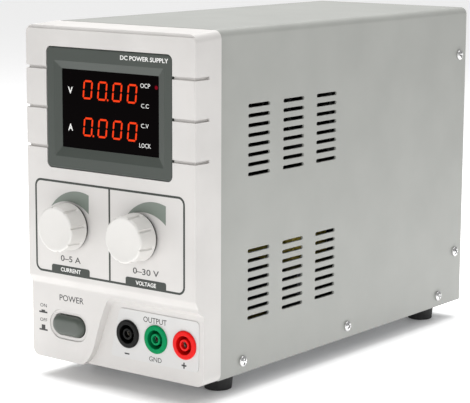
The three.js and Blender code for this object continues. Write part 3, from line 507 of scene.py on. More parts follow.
def make_camera():
    azimuth, elevation, roll = (math.radians(a) for a in (VIEW_AZIMUTH, VIEW_ELEVATION, VIEW_ROLL))
    back = Vector((
        math.sin(azimuth) * math.cos(elevation),
        -math.cos(azimuth) * math.cos(elevation),
        math.sin(elevation),
    ))
    right = (-back).cross(Vector((0, 0, 1))).normalized()
    up = right.cross(-back)
    right, up = (
        right * math.cos(roll) + up * math.sin(roll),
        up * math.cos(roll) - right * math.sin(roll),
    )
    data = bpy.data.cameras.new("camera")
    data.sensor_width = SENSOR
    data.lens = VIEW_LENS
    data.clip_start, data.clip_end = 0.01, 20
    camera = new_object("camera", data)
    turn = Matrix((right, up, back)).transposed().to_4x4()
    camera.matrix_world = Matrix.Translation(ORIGIN + Vector(EYE) * MM) @ turn
    bpy.context.scene.camera = camera


LIGHT_TARGET = Vector((0, 0, 0.09))


def soft_light(name, energy, size, position):
    data = bpy.data.lights.new(name, "AREA")
    data.energy = energy
    data.size = size
    light = new_object(name, data)
    light.location = position
    light.rotation_euler = (Vector(position) - LIGHT_TARGET).to_track_quat("Z", "Y").to_euler()


def math_node(tree, operation, first, second=0.0):
    """A math node whose inputs are numbers or (node, output) pairs."""
    node = add(tree, "Math")
    node.operation = operation
    for socket, value in zip(node.inputs, (first, second)):
        if isinstance(value, tuple):
            tree.links.new(value[0].outputs[value[1]], socket)
        else:
            socket.default_value = value
    return node, "Value"


def ramp_node(tree, source, span, low, high):
    node = add(tree, "MapRange", From_Min=span[0], From_Max=span[1], To_Min=low, To_Max=high)
    node.interpolation_type = "SMOOTHSTEP"
    link(tree, *source, node, "Value")
    return node, "Result"


def floor_with_painted_light():
    """Pale matt floor whose emission paints light and shade: a painted shadow under and just beside
    the object's footprint, a painted pool of light near it, fading far away.
    """
    material = surface("floor", (0.93, 0.93, 0.93), 0.6, bump=0.0, mottle=0.005)
    tree = material.node_tree
    corners = (FASCIA_LOW, node_box("chassis_pan")[1])
    low, high = (ORIGIN + Vector(corner) * MM for corner in corners)
    where = add(tree, "TexCoord")
    split = add(tree, "SeparateXYZ")
    link(tree, where, "Object", split, "Vector")
    away = []
    for axis, a, b in (("X", low.x, high.x), ("Y", low.y, high.y)):
        offset = math_node(tree, "SUBTRACT", (split, axis), (a + b) / 2)
        away.append(math_node(tree, "SUBTRACT", math_node(tree, "ABSOLUTE", offset), (b - a) / 2))
    distance = math_node(tree, "MAXIMUM", *away)
    under, near, far = FLOOR_PAINTED_LIGHT
    # painted shadow rising into a painted pool of light, which fades with distance
    rise = ramp_node(tree, distance, PAINTED_SHADOW_EDGE, under, near)
    fade = ramp_node(tree, distance, PAINTED_POOL_FADE, 1, far / near)
    painted_glow = math_node(tree, "MULTIPLY", rise, fade)
    shader = tree.nodes["Principled BSDF"]
    fill(shader, Emission_Color=(1, 1, 1, 1))
    link(tree, *painted_glow, shader, "Emission Strength")
    return material


def make_studio():
    scene = bpy.context.scene
    scene.view_settings.view_transform = "Standard"
    world = bpy.data.worlds.new("studio")
    world.use_nodes = True
    fill(world.node_tree.nodes["Background"], Color=(1, 1, 1, 1), Strength=SKY)
    scene.world = world
    soft_light("overhead", energy=14.8, size=1.0, position=(-0.2, 0.1, 1.05))
    soft_light("front_right", energy=1.7, size=0.5, position=(0.45, -1.05, 0.4))
    floor_mesh = bpy.data.meshes.new("floor")
    reach = 8.0
    corners = [(-reach, -reach, 0), (reach, -reach, 0), (reach, reach, 0), (-reach, reach, 0)]
    floor_mesh.from_pydata(corners, [], [(0, 1, 2, 3)])
    floor_mesh.materials.append(floor_with_painted_light())
    floor = new_object("floor", floor_mesh)


# ---- fascia
GROOVE_HEIGHTS = (115.4, 136.2, 157.0)
BEZEL = (-42.4, 104.9, 42.4, 168.2)
BUTTON = (*middle("power_button")[::2], 22.4, 11.0)
JACKS = {
    "negative": ("jack_black", "black_plastic"), "ground": ("jack_green", "green_plastic"),
    "positive": ("jack_red", "red_plastic"),
}
JACK_NODES = [f"{name}_jack" for name in JACKS]
TOP_DRAFT = 0.05
LIP_HEIGHT, LIP_DEPTH = 1.7, 0.8  # the small step along the top of the front
BEYOND = 60  # past either side of the fascia
CORNER_RADIUS = 4.5
HOLLOW_HALF, HOLLOW_TOP = 54, 176.5  # the space behind the front
POCKET_RIGHT, POCKET_TOP = -21, 39  # and the one behind the power button's face
ENCODER_HOLE, JACK_HOLE = 5.0, 6.3  # radii
GROOVE_DEPTH, GROOVE_HALF, GROOVE_BACK = 1.5, 0.8, -11
GROOVES_BEYOND, GROOVES_ABOVE = 42, 110  # the grooves' edges are past these in x and z
DISPLAY_GAP, BUTTON_GAP = 0.25, 0.7
DISH_WIDTH, DISH_DEPTH = 4.6, 0.7  # the dish round the button


def grown(box, by):
    return (box[0] - by, box[1] - by, box[2] + by, box[3] + by)


def fascia_shell():
    """The moulding before anything is cut into it."""
    edge, rim, steps = 0.9, 0.5, 5

    def section(y, inwards):
        drop = -TOP_DRAFT * y
        outline = rounded(
            -HALF_WIDTH + inwards, inwards, HALF_WIDTH - inwards, FASCIA_TOP - drop - inwards,
            max(0.6, CORNER_RADIUS - inwards),
        )
        return at_y(outline, y)

    sections = []
    for a in quarter(steps):
        sections.append(section(FRONT + edge * (1 - math.cos(a)), edge * (1 - math.sin(a))))
    sections.append(section(JOINT - rim, 0))
    sections.append(section(JOINT, rim))
    sections.append(section(JOINT, WALL - rim))
    sections.append(section(JOINT - rim, WALL))
    sections.append(section(OUTPUT_FACE + WALL, WALL))
    return loft(sections)


def output_field(lift):
    """The lower right field's outline on its own face, its top raised by lift."""
    top = OUTPUT_TOP + lift
    right = HALF_WIDTH + 4
    wall_top, wall_foot = Vector((-3.0, top)), Vector((-12.6, 12.4))
    slope = (wall_top - wall_foot).normalized()
    bend = 4.5
    points = [(right, -4), (right, top)]
    points += curve_through(wall_top + Vector((bend, 0)), wall_top, wall_top - slope * bend, 8)
    points += curve_through(wall_foot, Vector((-15.0, 4.5)), Vector((-21.0, 0.2)), 12)
    points.append((-27, -4))
    return points


def step_cutters():
    side = HALF_WIDTH + 4
    slope = (STEP_TOP - STEP_FOOT) / (POWER_FACE - FRONT)
    ahead = 4.1
    outline = [
        (-26, -4), (POWER_FACE, -4), (POWER_FACE, STEP_FOOT), (FRONT, STEP_TOP),
        (FRONT - ahead, STEP_TOP + ahead * slope),
    ]
    power = bar_along_x(outline, -side, side)
    reach = 9.0
    output = loft([
        at_y(output_field(reach * OUTPUT_RISE), OUTPUT_FACE - reach),
        at_y(output_field(0), OUTPUT_FACE),
    ])
    return power, output


def groove_cutters():
    inner, outer = BEZEL[2] + 0.2, HALF_WIDTH + 3
    floor_x, floor_y = HALF_WIDTH - GROOVE_DEPTH, FRONT + GROOVE_DEPTH
    plan = [
        (inner, FRONT - 3), (outer, FRONT - 3), (outer, GROOVE_BACK), (floor_x, GROOVE_BACK),
        (floor_x, floor_y), (inner, floor_y),
    ]
    cutters = []
    for z in GROOVE_HEIGHTS:
        for hand in (-1, 1):
            levels = (z - GROOVE_HALF, z + GROOVE_HALF)
            cutters.append(loft([[(hand * x, y, level) for x, y in plan] for level in levels]))
    return cutters


def holes_at(nodes, radius, y0, y1):
    """Round cutters on the axes of the named nodes."""
    return [rod(radius, y0, y1, *middle(node)[::2]) for node in nodes]


def with_steps(shell):
    """The lip along the top, and the two lower faces set back behind the front."""
    power, output = step_cutters()
    lip_foot = FASCIA_TOP + TOP_DRAFT * FRONT - LIP_HEIGHT
    lip = block(-BEYOND, BEYOND, AHEAD, FRONT + LIP_DEPTH, lip_foot, FASCIA_TOP + 2)

    def lip_edges(co):
        return co.z > lip_foot - 0.05 and co.y < FRONT + LIP_DEPTH + 0.05

    def step_edges(co):
        return co.z < STEP_TOP + 0.5 and co.y < POWER_FACE + 0.2

    def output_edges(co):
        level = min(abs(co.y - POWER_FACE), abs(co.y - OUTPUT_FACE))
        return co.z < STEP_FOOT - 1 and co.x > -24 and level < 0.05

    shell = soften(cut(shell, lip), 0.3, 3, lip_edges, 40)
    shell = soften(cut(shell, power), 1.2, 4, step_edges, 22)
    return soften(cut(shell, output), 0.75, 4, output_edges, 22)


def with_openings(shell):
    """The display, grooves, button, knob and jack openings, and the hollow behind them."""
    x, z, width, height = BUTTON
    display = slab(rounded(*grown(BEZEL, DISPLAY_GAP), 3.2), AHEAD, 2)
    dish_face = POWER_FACE + DISH_DEPTH
    dish = slab(stadium(x, z, width + DISH_WIDTH, height + DISH_WIDTH), AHEAD, dish_face)
    button = slab(stadium(x, z, width + BUTTON_GAP, height + BUTTON_GAP), AHEAD, 2)
    back = OUTPUT_FACE + WALL + 1
    hollow = block(-HOLLOW_HALF, HOLLOW_HALF, FRONT + WALL, back, STEP_TOP + WALL, HOLLOW_TOP)
    pocket = block(-HOLLOW_HALF, POCKET_RIGHT, POWER_FACE + WALL, back, WALL, POCKET_TOP)
    shell = cut(shell, display, joined(*groove_cutters()), dish)
    holes = holes_at(("current_encoder", "voltage_encoder"), ENCODER_HOLE, AHEAD, 2)
    holes += holes_at(JACK_NODES, JACK_HOLE, AHEAD, 2)
    return cut(shell, joined(*holes), button, hollow, pocket)


def make_fascia():
    shell = with_openings(with_steps(fascia_shell()))
    x, z = BUTTON[:2]

    def grooved(co):
        on_face = co.y < FRONT + 0.05 or co.x ** 2 > (HALF_WIDTH - 0.05) ** 2
        beside = co.z > GROOVES_ABOVE and abs(co.x) > GROOVES_BEYOND
        return on_face and beside and co.y < GROOVE_BACK + 0.1

    def around_button(co):
        return math.hypot(max(0, abs(co.x - x) - 6), co.z - z) < 9.4 and co.y < POWER_FACE + 0.75

    shell = soften(shell, 0.5, 3, grooved, 40)
    shell = soften(shell, 0.45, 3, around_button, 40)
    place("fascia_front", shell, "fascia", replaces=["fascia"], smooth=40)


# ---- printing on the fascia
KNOB_FRAME = (-51.8, 48.0, 50.7, 98.1)
FRAME_RADIUS, LINE = 4.2, 1.15
DIVIDER_X = 0.6
CRESCENT_SHIFT = 52.0  # from the left crescent to the right one
CRESCENT = {
    "tip": (-40.3, 83.8), "crown": (-24.3, 93.3), "shoulder": (-13.6, 92.2),
    "inner_end": (-13.7, 82.3), "inner_crown": (-27.7, 87.6),
}
TABS = ((-26.9, 26.9), (24.9, 27.0))  # middle and width
TAB_TOP = 52.9
TAB_PRINT = 0.06
SYMBOLS = ((24.3, 1.7), (14.6, 3.2))  # height of each symbol's foot, and of its raised middle
SYMBOL_X = -49.3


def ring(outer, inner, y0, y1):
    return loft([at_y(outer, y0), at_y(outer, y1), at_y(inner, y1), at_y(inner, y0)], closed=True)


def make_printing():
    x0, z0, x1, z1 = KNOB_FRAME
    face = FRONT
    border = ring(
        rounded(x0, z0, x1, z1, FRAME_RADIUS),
        rounded(x0 + LINE, z0 + LINE, x1 - LINE, z1 - LINE, FRAME_RADIUS - LINE),
        face - PRINT, face + PRINT,
    )
    left, right = DIVIDER_X - LINE / 2, DIVIDER_X + LINE / 2
    divider = block(left, right, face - PRINT, face + PRINT, z0 + LINE, z1 - LINE)
    tabs = []
    for centre, width in TABS:
        outline = rounded(centre - width / 2, z0 + 0.2, centre + width / 2, TAB_TOP, 1.2, 5)
        tabs.append(printed(outline, face, TAB_PRINT))
    place("control_frame_print", joined(border, divider, *tabs), "print_dark")

    crescents = []
    for shift in (0, CRESCENT_SHIFT):
        c = {key: (x + shift, z) for key, (x, z) in CRESCENT.items()}
        outline = arc_through(c["tip"], c["crown"], c["shoulder"], 20)
        outline += arc_through(c["inner_end"], c["inner_crown"], c["tip"], 20)[:-1]
        outline.reverse()
        crescents.append(printed(outline, face))
    place("scale_crescents", joined(*crescents), "print_green")

    words = [
        lettering("0\u20135 A", -26.8, 56.8, 14.1, 3.2, face, 0.008),
        lettering("0\u201330 V", 25.0, 56.7, 17.3, 3.2, face, 0.008),
        lettering("POWER", -28.6, 34.6, 17.2, 3.3, POWER_FACE, 0.005),
        lettering("ON", -49.1, 28.5, 4.8, 1.9, POWER_FACE, 0.005),
        lettering("OFF", -49.1, 20.5, 5.2, 1.9, POWER_FACE, 0.005),
    ]
    place("fascia_lettering", joined(*words), "print_black", smooth=20)
    whites = [
        lettering("CURRENT", -26.8, 50.7, 14.2, 2.2, face - TAB_PRINT, 0.02),
        lettering("VOLTAGE", 25.0, 50.5, 13.5, 2.2, face - TAB_PRINT, 0.02),
    ]
    place("tab_lettering", joined(*whites), "print_white", smooth=20)

    icons = []
    foot, stem, thick = 3.0, 1.3, 0.9
    for z, bump_height in SYMBOLS:
        plan = [
            (-foot, 0), (foot, 0), (foot, thick), (stem, thick), (stem, bump_height),
            (-stem, bump_height), (-stem, thick), (-foot, thick),
        ]
        icons.append(printed([(SYMBOL_X + dx, z + dz) for dx, dz in plan], POWER_FACE))
    place("button_symbols", joined(*icons), "print_black")


# ---- display
WINDOW = (-32.8, 116.0, 32.8, 157.1)
SLOPE = (-37.3, 111.2, 37.3, 161.2)
WINDOW_DEPTH, LEDGE = 1.5, 0.3  # front face to window opening, and on to the glass
GLASS = FRONT + WINDOW_DEPTH + LEDGE
SEGMENT = 0.98
LIT = 0.05  # half the thickness of a lit segment


def make_bezel():
    rim, steps = 0.7, 5

    def frame_loop(box, radius, y, by=0.0):
        return at_y(rounded(*grown(box, -by), max(radius - by, 0.15)), y)

    sections = [
        frame_loop(SLOPE, 0.6, FRONT),
        frame_loop(WINDOW, 0.3, FRONT + WINDOW_DEPTH),
        frame_loop(WINDOW, 0.3, GLASS),
        frame_loop(grown(WINDOW, 1.5), 1.8, GLASS),
        frame_loop(grown(WINDOW, 1.5), 1.8, FRONT + WALL + 2),
        frame_loop(grown(BEZEL, 2), 5, FRONT + WALL + 2),
        frame_loop(grown(BEZEL, 2), 5, FRONT + WALL + GAP),
        frame_loop(BEZEL, 3, FRONT + WALL + GAP),
    ]
    for a in quarter(steps):
        y = FRONT + rim * (1 - math.sin(a))
        sections.append(frame_loop(BEZEL, 3, y, rim * (1 - math.cos(a))))
    mesh = loft(sections, closed=True)

    def slope_edges(co):
        return abs(co.y - FRONT) < 0.01 and abs(co.x) < SLOPE[2] + 0.1

    mesh = soften(mesh, 0.35, 2, slope_edges, 15)
    place("display_surround", mesh, "bezel", replaces=["display_bezel"], smooth=35)


def make_window():
    radius, thickness, edge = 1.2, 1.5, 0.1
    mesh = slab(rounded(*grown(WINDOW, radius), radius, 4), GLASS, GLASS + thickness, edge)
    place("filter_window", mesh, "window", replaces=["display_window"])


def lit_zero(cx, cz, width, height):
    """The six lit bars of a seven-segment zero, slanted, with pointed ends."""
    slant = math.tan(math.radians(6))
    half, tall = width / 2, height / 2
    t, gap = SEGMENT / 2, 0.22
    bars = (
        ((-half, tall), (half, tall)), ((half, 0), (half, tall)), ((half, -tall), (half, 0)),
        ((-half, -tall), (half, -tall)), ((-half, -tall), (-half, 0)), ((-half, 0), (-half, tall)),
    )
    parts = []
    for bar in bars:
        start, end = (Vector(p) for p in bar)
        along = (end - start).normalized()
        across = Vector((-along.y, along.x))
        start, end = start + along * gap, end - along * gap
        loop = [
            start, start + (along - across) * t, end - (along + across) * t,
            end, end + (across - along) * t, start + (along + across) * t,
        ]
        outline = [(cx + p.x + p.y * slant, cz + p.y) for p in loop]
        parts.append(slab(outline, GLASS - LIT, GLASS + LIT))
    return parts


DIGIT_PITCH = 10.03
DIGIT_SIZE = (5.4, 8.9)
ROWS = {"voltage": (147.0, 1), "current": (127.7, 0)}  # height, and the digit before the point
FIRST_DIGIT = -15.15
POINT_RADIUS, POINT_GAP = 0.55, 0.9
LAMP = (30.9, 151.2)


def make_readings():
    face = GLASS
    for name, (z, point_after) in ROWS.items():
        parts = []
        for i in range(4):
            x = FIRST_DIGIT + i * DIGIT_PITCH
            parts += lit_zero(x, z, *DIGIT_SIZE)
            if i == point_after:
                dot_x, dot_z = x + DIGIT_SIZE[0] / 2 + POINT_GAP, z - DIGIT_SIZE[1] / 2
                parts.append(rod(POINT_RADIUS, face - LIT, face + LIT, dot_x, dot_z, 12))
        place(f"{name}_reading", joined(*parts), "digits")
    legend = [
        lettering("V", -27.3, 146.0, 3.3, 3.6, face, 0.02),
        lettering("A", -27.4, 126.7, 3.3, 3.6, face, 0.02),
        lettering("OCP", 23.6, 151.6, 6.4, 2.3, face),
        lettering("C.C", 23.4, 141.4, 5.0, 2.2, face),
        lettering("C.V", 23.3, 131.3, 5.0, 2.2, face),
        lettering("LOCK", 23.4, 121.3, 7.6, 2.3, face),
    ]
    place("display_legend", joined(*legend), "print_white", smooth=20)
    title = lettering("DC POWER SUPPLY", 24.4, 165.1, 31.5, 2.3, FRONT, 0.02)
    place("bezel_title", title, "print_white", smooth=20)
    lamp = rod(1.0, face - LIT, face + LIT, *LAMP, 16)
    place("limit_lamp", lamp, "led")


# ---- rotary knobs
KNOB_BASE_RADIUS, KNOB_FRONT_RADIUS = 12.6, 12.0
KNOB_HOLLOW, KNOB_BORE = 9.5, 3.3  # radii of the hollow in the back and of the shaft's hole
KNOB_FLUTES = 8
FLUTE_WIDTH, FLUTE_DEPTH = 1.7, 0.75
# The dark ring behind each grip is painted shade: a black band standing in for the shadowed gap
# between knob and panel.
KNOB_SHADE_RING = 0.9  # thickness of the dark ring behind the grip
KNOB_TURN = {"current": 8.5, "voltage": 26.6}  # degrees


def knob_section(cx, cz, radius, depth, y, turn):
    """A circle with narrow finger grooves of the given depth pressed into it."""
    half = FLUTE_WIDTH / 2
    near = [half * i / 4 for i in range(-5, 6)]
    points = []
    for k in range(KNOB_FLUTES):
        start = 2 * math.pi * k / KNOB_FLUTES + math.radians(turn)
        margin = near[-1] / KNOB_BASE_RADIUS
        gap = 2 * math.pi / KNOB_FLUTES - 2 * margin
        angles = [(start + d / KNOB_BASE_RADIUS, d) for d in near]
        angles += [(start + margin + gap * i / 8, half) for i in range(1, 8)]
        for angle, off in angles:
            dip = depth * max(0.0, 1 - (off / half) ** 2)
            r = radius - dip
            points.append((cx + r * math.cos(angle), y, cz + r * math.sin(angle)))
    return points


def make_knob(name):
    (_, front, _), (_, back, _) = node_box(f"{name}_knob")
    cx, _, cz = middle(f"{name}_knob")
    body = f"{name}_control"
    edge, steps = 1.1, 6
    rear = back - KNOB_SHADE_RING
    stations = [(2.0, 0, front + 0.55), (8.0, 0, front + 0.3)]
    stations.append((KNOB_FRONT_RADIUS - edge - 0.6, 0, front + 0.02))
    for i, a in enumerate(quarter(steps)):
        radius = KNOB_FRONT_RADIUS - edge * (1 - math.sin(a))
        stations.append((radius, FLUTE_DEPTH * i / steps, front + edge * (1 - math.cos(a))))
    stations.append((KNOB_BASE_RADIUS - 0.15, FLUTE_DEPTH, rear - 2.4))
    stations.append((KNOB_BASE_RADIUS - 0.1, FLUTE_DEPTH * 0.5, rear - 1.9))
    stations.append((KNOB_BASE_RADIUS, 0, rear - 1.5))
    stations.append((KNOB_BASE_RADIUS, 0, rear - 0.3))
    stations.append((KNOB_BASE_RADIUS - 0.3, 0, rear))
    hollow_floor, bore_end = back - 2.5, front + 2.2
    stations += [(KNOB_HOLLOW, 0, rear), (KNOB_HOLLOW, 0, hollow_floor)]
    stations += [(KNOB_BORE, 0, hollow_floor), (KNOB_BORE, 0, bore_end)]
    mesh = loft([knob_section(cx, cz, r, d, y, KNOB_TURN[name]) for r, d, y in stations])
    place(f"{name}_grip", mesh, "knob", body, [f"{name}_knob"], smooth=40)
    # black ring at the back of the grip, painted shade for the shadowed gap at the knob's base
    outer = KNOB_BASE_RADIUS - 0.35
    profile = [(KNOB_HOLLOW, rear), (outer, rear), (outer, back), (KNOB_HOLLOW, back)]
    shade_ring_mesh = turned(filleted(profile, [0.1, 0.1], 2), cx, cz, 64, closed=True)
    place(f"{name}_painted_shade_ring", shade_ring_mesh, "print_black", body)


# ---- power button
BUTTON_DOME = (  # how far in from the rim, and how far behind the front
    (4.4, 0.0), (3.2, 0.04), (2.2, 0.14), (1.5, 0.38), (0.9, 0.8), (0.45, 1.3), (0.15, 1.85), (0, 2.5),
)
SOCKET_HALF, SOCKET_DEPTH = 2.3, 3.5  # the square hole for the plunger


def make_button():
    (_, front, _), (_, back, _) = node_box("power_button")
    x, z, width, height = BUTTON
    sections = []
    for inwards, deep in (*BUTTON_DOME, (0, back - front)):
        outline = stadium(x, z, width - 2 * inwards, height - 2 * inwards, 16)
        sections.append(at_y(outline, front + deep))
    half = SOCKET_HALF
    socket = block(x - half, x + half, back - SOCKET_DEPTH, back + 1, z - half, z + half)
    mesh = cut(loft(sections), socket)
    body = "power_button"
    place("button_cap", mesh, "button", body, [body], smooth=50)


# ---- output jacks and their label
LABEL_CORNERS = ((54.4, 7.4), (54.9, 34.0), (1.8, 34.0), (-4.6, 7.4))
LABEL_RADIUS, LABEL_EDGE = 2.8, 0.2


def make_output_label():
    face = node_box("output_label")[0][1]
    corners = [Vector(corner) for corner in LABEL_CORNERS]
    outline = []
    for i, here in enumerate(corners):
        before = (corners[i - 1] - here).normalized() * LABEL_RADIUS
        after = (corners[(i + 1) % len(corners)] - here).normalized() * LABEL_RADIUS
        outline += curve_through(here + before, here, here + after, 6)
    mesh = slab(outline, face, OUTPUT_FACE, LABEL_EDGE, 0, 2)
    holes = holes_at(JACK_NODES, JACK_HOLE, face - 1, OUTPUT_FACE + 1)
    place("output_plate", cut(mesh, joined(*holes)), "label", replaces=["output_label"])
    words = [
        lettering("OUTPUT", 25.9, 30.3, 15.6, 2.9, face, 0.004),
        lettering("GND", 26.1, 9.9, 8.4, 2.6, face, 0.004),
        lettering("+", 45.1, 9.9, 3.2, 3.2, face, 0.03),
        lettering("\u2013", 6.8, 10.0, 3.3, 0.8, face, 0.02),
    ]
    place("output_lettering", joined(*words), "print_black", smooth=20)


JACK_BORE, JACK_SLEEVE, JACK_RIM, JACK_FLANGE, JACK_NECK = 2.0, 3.05, 4.92, 7.5, 6.0  # radii
CONTACT_SEAT = 2.7  # radius of the pocket for the metal contact
MOAT_DEPTH, SLEEVE_SET_BACK, CONTACT_FRONT = 11, 0.5, 2.6  # from the front
JACK_FILLETS = (0.3, 0.1, 0.2, 0.3, 0.4, 0.3, 0.05, 0.1, 0.2, 0.1, 0.1)


def make_jack(name, material, slot):
    (_, front, _), (_, back, _) = node_box(f"{name}_jack")
    cx, _, cz = middle(f"{name}_jack")
    seat = node_box("output_label")[0][1]
    sleeve, moat, contact = front + SLEEVE_SET_BACK, front + MOAT_DEPTH, front + CONTACT_FRONT
    profile = [
        (JACK_BORE, sleeve), (JACK_SLEEVE, sleeve), (JACK_SLEEVE, moat), (JACK_RIM, moat),
        (JACK_RIM, front), (JACK_FLANGE - 0.6, front + 0.1), (JACK_FLANGE, front + 0.45),
        (JACK_FLANGE, seat), (JACK_NECK, seat), (JACK_NECK, back), (CONTACT_SEAT, back),
        (CONTACT_SEAT, contact), (JACK_BORE, contact),
    ]
    mesh = turned(filleted(profile, JACK_FILLETS), cx, cz, 64, closed=True)
    place(f"{name}_socket", mesh, material, replaces=[f"{name}_jack"])


# ---- cover, side screws and feet
SLOT_LENGTH, SLOT_HEIGHT, SLOT_PITCH, SLOT_ROWS = 18.9, 2.0, 5.07, 8
SLOT_COLUMNS = (24.3, 54.8, 85.3)
SLOT_BLOCKS = (28.5, 104.3)  # height of each block's lowest slot
SHEET = 1.2
SCREW_HOLE = 1.9
SCREWS = (  # name, and place along and up the side
    ("bottom_front", 20, 6.5), ("bottom_middle", 117.4, 6.5), ("bottom_rear", 215.7, 6.5),
    ("rear_lower", 234.2, 31.2), ("rear_upper", 234.2, 151.9),
)


def through_side(outline, hand):
    """A cutter through the cover's left (-1) or right (1) side, from an outline in Y and Z."""
    return bar_along_x(outline, hand * (COVER_HALF - 3), hand * (COVER_HALF + 3))


def make_cover():
    bend, steps = 4.0, 10
    outer = [(COVER_HALF, 0)] + arc(COVER_HALF - bend, CASE_TOP - bend, bend, 0, 90, steps)
    outer += arc(bend - COVER_HALF, CASE_TOP - bend, bend, 90, 180, steps) + [(-COVER_HALF, 0)]
    lean = bend - SHEET
    inner = [(-COVER_HALF + SHEET, 0)] + arc(bend - COVER_HALF, CASE_TOP - bend, lean, 180, 90, steps)
    inner += arc(COVER_HALF - bend, CASE_TOP - bend, lean, 90, 0, steps) + [(COVER_HALF - SHEET, 0)]
    mesh = slab(outer + inner, JOINT + GAP, CASE_BACK)
    heights = [base + row * SLOT_PITCH for base in SLOT_BLOCKS for row in range(SLOT_ROWS)]
    slots = []
    for hand in (-1, 1):
        for y in SLOT_COLUMNS:
            for z in heights:
                hole = stadium(y + SLOT_LENGTH / 2, z, SLOT_LENGTH, SLOT_HEIGHT, 5)
                slots.append(through_side(hole, hand))
    for _, y, z in SCREWS:
        for hand in (-1, 1):
            slots.append(through_side(circle(y, z, SCREW_HOLE, 24), hand))
    mesh = cut(mesh, joined(*slots))

    def outside(co):
        return abs(abs(co.x) - COVER_HALF) < 0.01 and co.z > 2

    def in_slots(co):
        return outside(co) and 22 < co.y < 106 and 25 < co.z < 142

    mesh = soften(mesh, 0.22, 2, in_slots, 50)
    place("case_cover", mesh, "cover", replaces=["top_cover"], smooth=40)


def cross_recess(size, depth):
    """Two crossed tapered bars that cut a driver recess, narrowing from just above y = 0."""
    parts = []
    half, above = size / 4, -0.3
    for turn in (0, 90):
        top = [(x, above, z) for x, z in ((-size, -half), (size, -half), (size, half), (-size, half))]
        foot = [(x * 0.45, depth, z * 0.7) for x, _, z in top]
        bar = loft([top, foot])
        bar.transform(Matrix.Rotation(math.radians(turn), 4, "Y"))
        parts.append(bar)
    return combined(*parts, "UNION")


def pan_head(radius, height, shank, reach):
    """A pan-head screw about the Y axis, its head's seat at y = 0 and its top at y = -height."""
    profile = [
        (0, -height), (radius * 0.55, -height), (radius * 0.98, -height * 0.62), (radius, 0),
        (shank, 0), (shank, reach), (0, reach),
    ]
    mesh = turned(filleted(profile, [0.8, 0.7, 0.1, 0.05, 0.2]), 0, 0, 32)
    recess = cross_recess(radius * 0.7, height * 0.85)
    recess.transform(Matrix.Translation((0, -height, 0)))
    return cut(mesh, recess)


def driven(screw, spin, turn, axis, seat):
    """Spins a screw on its own axis, turns it to face its side and moves it to its seat."""
    screw.transform(Matrix.Rotation(math.radians(spin), 4, "Y"))
    screw.transform(Matrix.Rotation(math.radians(turn), 4, axis))
    screw.transform(Matrix.Translation(seat))
    return screw


def make_side_screws():
    for side, hand in (("left", -1), ("right", 1)):
        for i, (name, y, z) in enumerate(SCREWS):
            seat = (hand * COVER_HALF, y, z)
            mesh = driven(pan_head(3.0, 1.85, 1.5, 6), 25 + 37 * i, 90 * hand, "Z", seat)
            node = f"screw_{side}_{name}"
            place(f"{node}_head", mesh, "screw", replaces=[node])


FOOT_HOLE, FOOT_RECESS, FOOT_TAPER = 2.2, 4.6, 0.7
FOOT_STRAIGHT, FOOT_SEAT = -3, -4.5  # heights of the taper's start and of the screw's seat


def make_feet():
    for end in ("front", "rear"):
        for side in ("left", "right"):
            node = f"foot_{end}_{side}"
            low, high = node_box(node)
            cx, cy, _ = middle(node)
            radius = high[0] - cx
            profile = [
                (FOOT_HOLE, 0), (radius, 0), (radius, FOOT_STRAIGHT), (radius - FOOT_TAPER, low[2]),
                (FOOT_RECESS, low[2]), (FOOT_RECESS, FOOT_SEAT), (FOOT_HOLE, FOOT_SEAT),
            ]
            loop = filleted(profile, [0.3, 0.6, 0.8, 0.4, 0.2])
            mesh = turned([(r, -z) for r, z in loop], 0, 0, 48, closed=True)
            upright = Matrix.Rotation(math.radians(-90), 4, "X")
            mesh.transform(Matrix.Translation((cx, cy, 0)) @ upright)
            place(f"rubber_{node}", mesh, "rubber", replaces=[node])
            screw = driven(pan_head(3.6, 2.2, 1.7, 7.5), 0, 90, "X", (cx, cy, FOOT_SEAT))
            place(f"{node}_screw", screw, "screw")


# ---- fan guard and mains inlet
def strut(start, end, radius):
    """A round bar between two points."""
    start, end = Vector(start), Vector(end)
    turn = (end - start).to_track_quat("Y", "Z").to_matrix().to_4x4()
    bar = rod(radius, 0, (end - start).length, 0, 0, 12)
    bar.transform(Matrix.Translation(start) @ turn)
    return bar


def make_guard():
    """Three wire rings on two crossed wires, with an eye and a screw at each corner."""
    low, high = node_box("fan_guard")
    cx, _, cz = middle("fan_guard")
    eye, wire, plate = 3.6, 0.9, 1.3
    reach = (high[0] - low[0]) / 2 - wire - 0.1
    hole = reach - eye + wire + 0.1
    parts = []
    for radius in (reach, reach * 0.655, reach * 0.31):
        ring_y = high[1] - wire
        profile = [(radius + x, ring_y + y) for x, y in circle(0, 0, wire, 12)]
        parts.append(turned(profile, cx, cz, 72, closed=True))
    for hand in (-1, 1):
        ends = [(cx + side * hole, low[1] + wire, cz + side * hand * hole) for side in (-1, 1)]
        parts.append(strut(*ends, wire))
    corners = ((-hole, -hole), (hole, -hole), (hole, hole), (-hole, hole))
    parts += [rod(eye, low[1], low[1] + plate, cx + dx, cz + dz, 32) for dx, dz in corners]
    place("guard_wires", joined(*parts), "wire", replaces=["fan_guard"])
    screws = []
    for i, (dx, dz) in enumerate(corners):
        seat = (cx + dx, low[1] + plate, cz + dz)
        screws.append(driven(pan_head(3.1, 2.0, 1.8, 6), 20 + 31 * i, 180, "Z", seat))
    place("guard_screws", joined(*screws), "screw")


PIN_WIDTH, PIN_HEIGHT = 2.0, 4.0
PIN_PLACES = ((-7.0, 30.0), (0.0, 34.0), (7.0, 30.0))  # from the inlet's middle, and height
PIN_ROOT, PIN_TIP = 17.2, 3.5  # how far behind the inlet's face the blades start and end
INLET_SCREWS = (20, 40)  # from the inlet's middle, and height


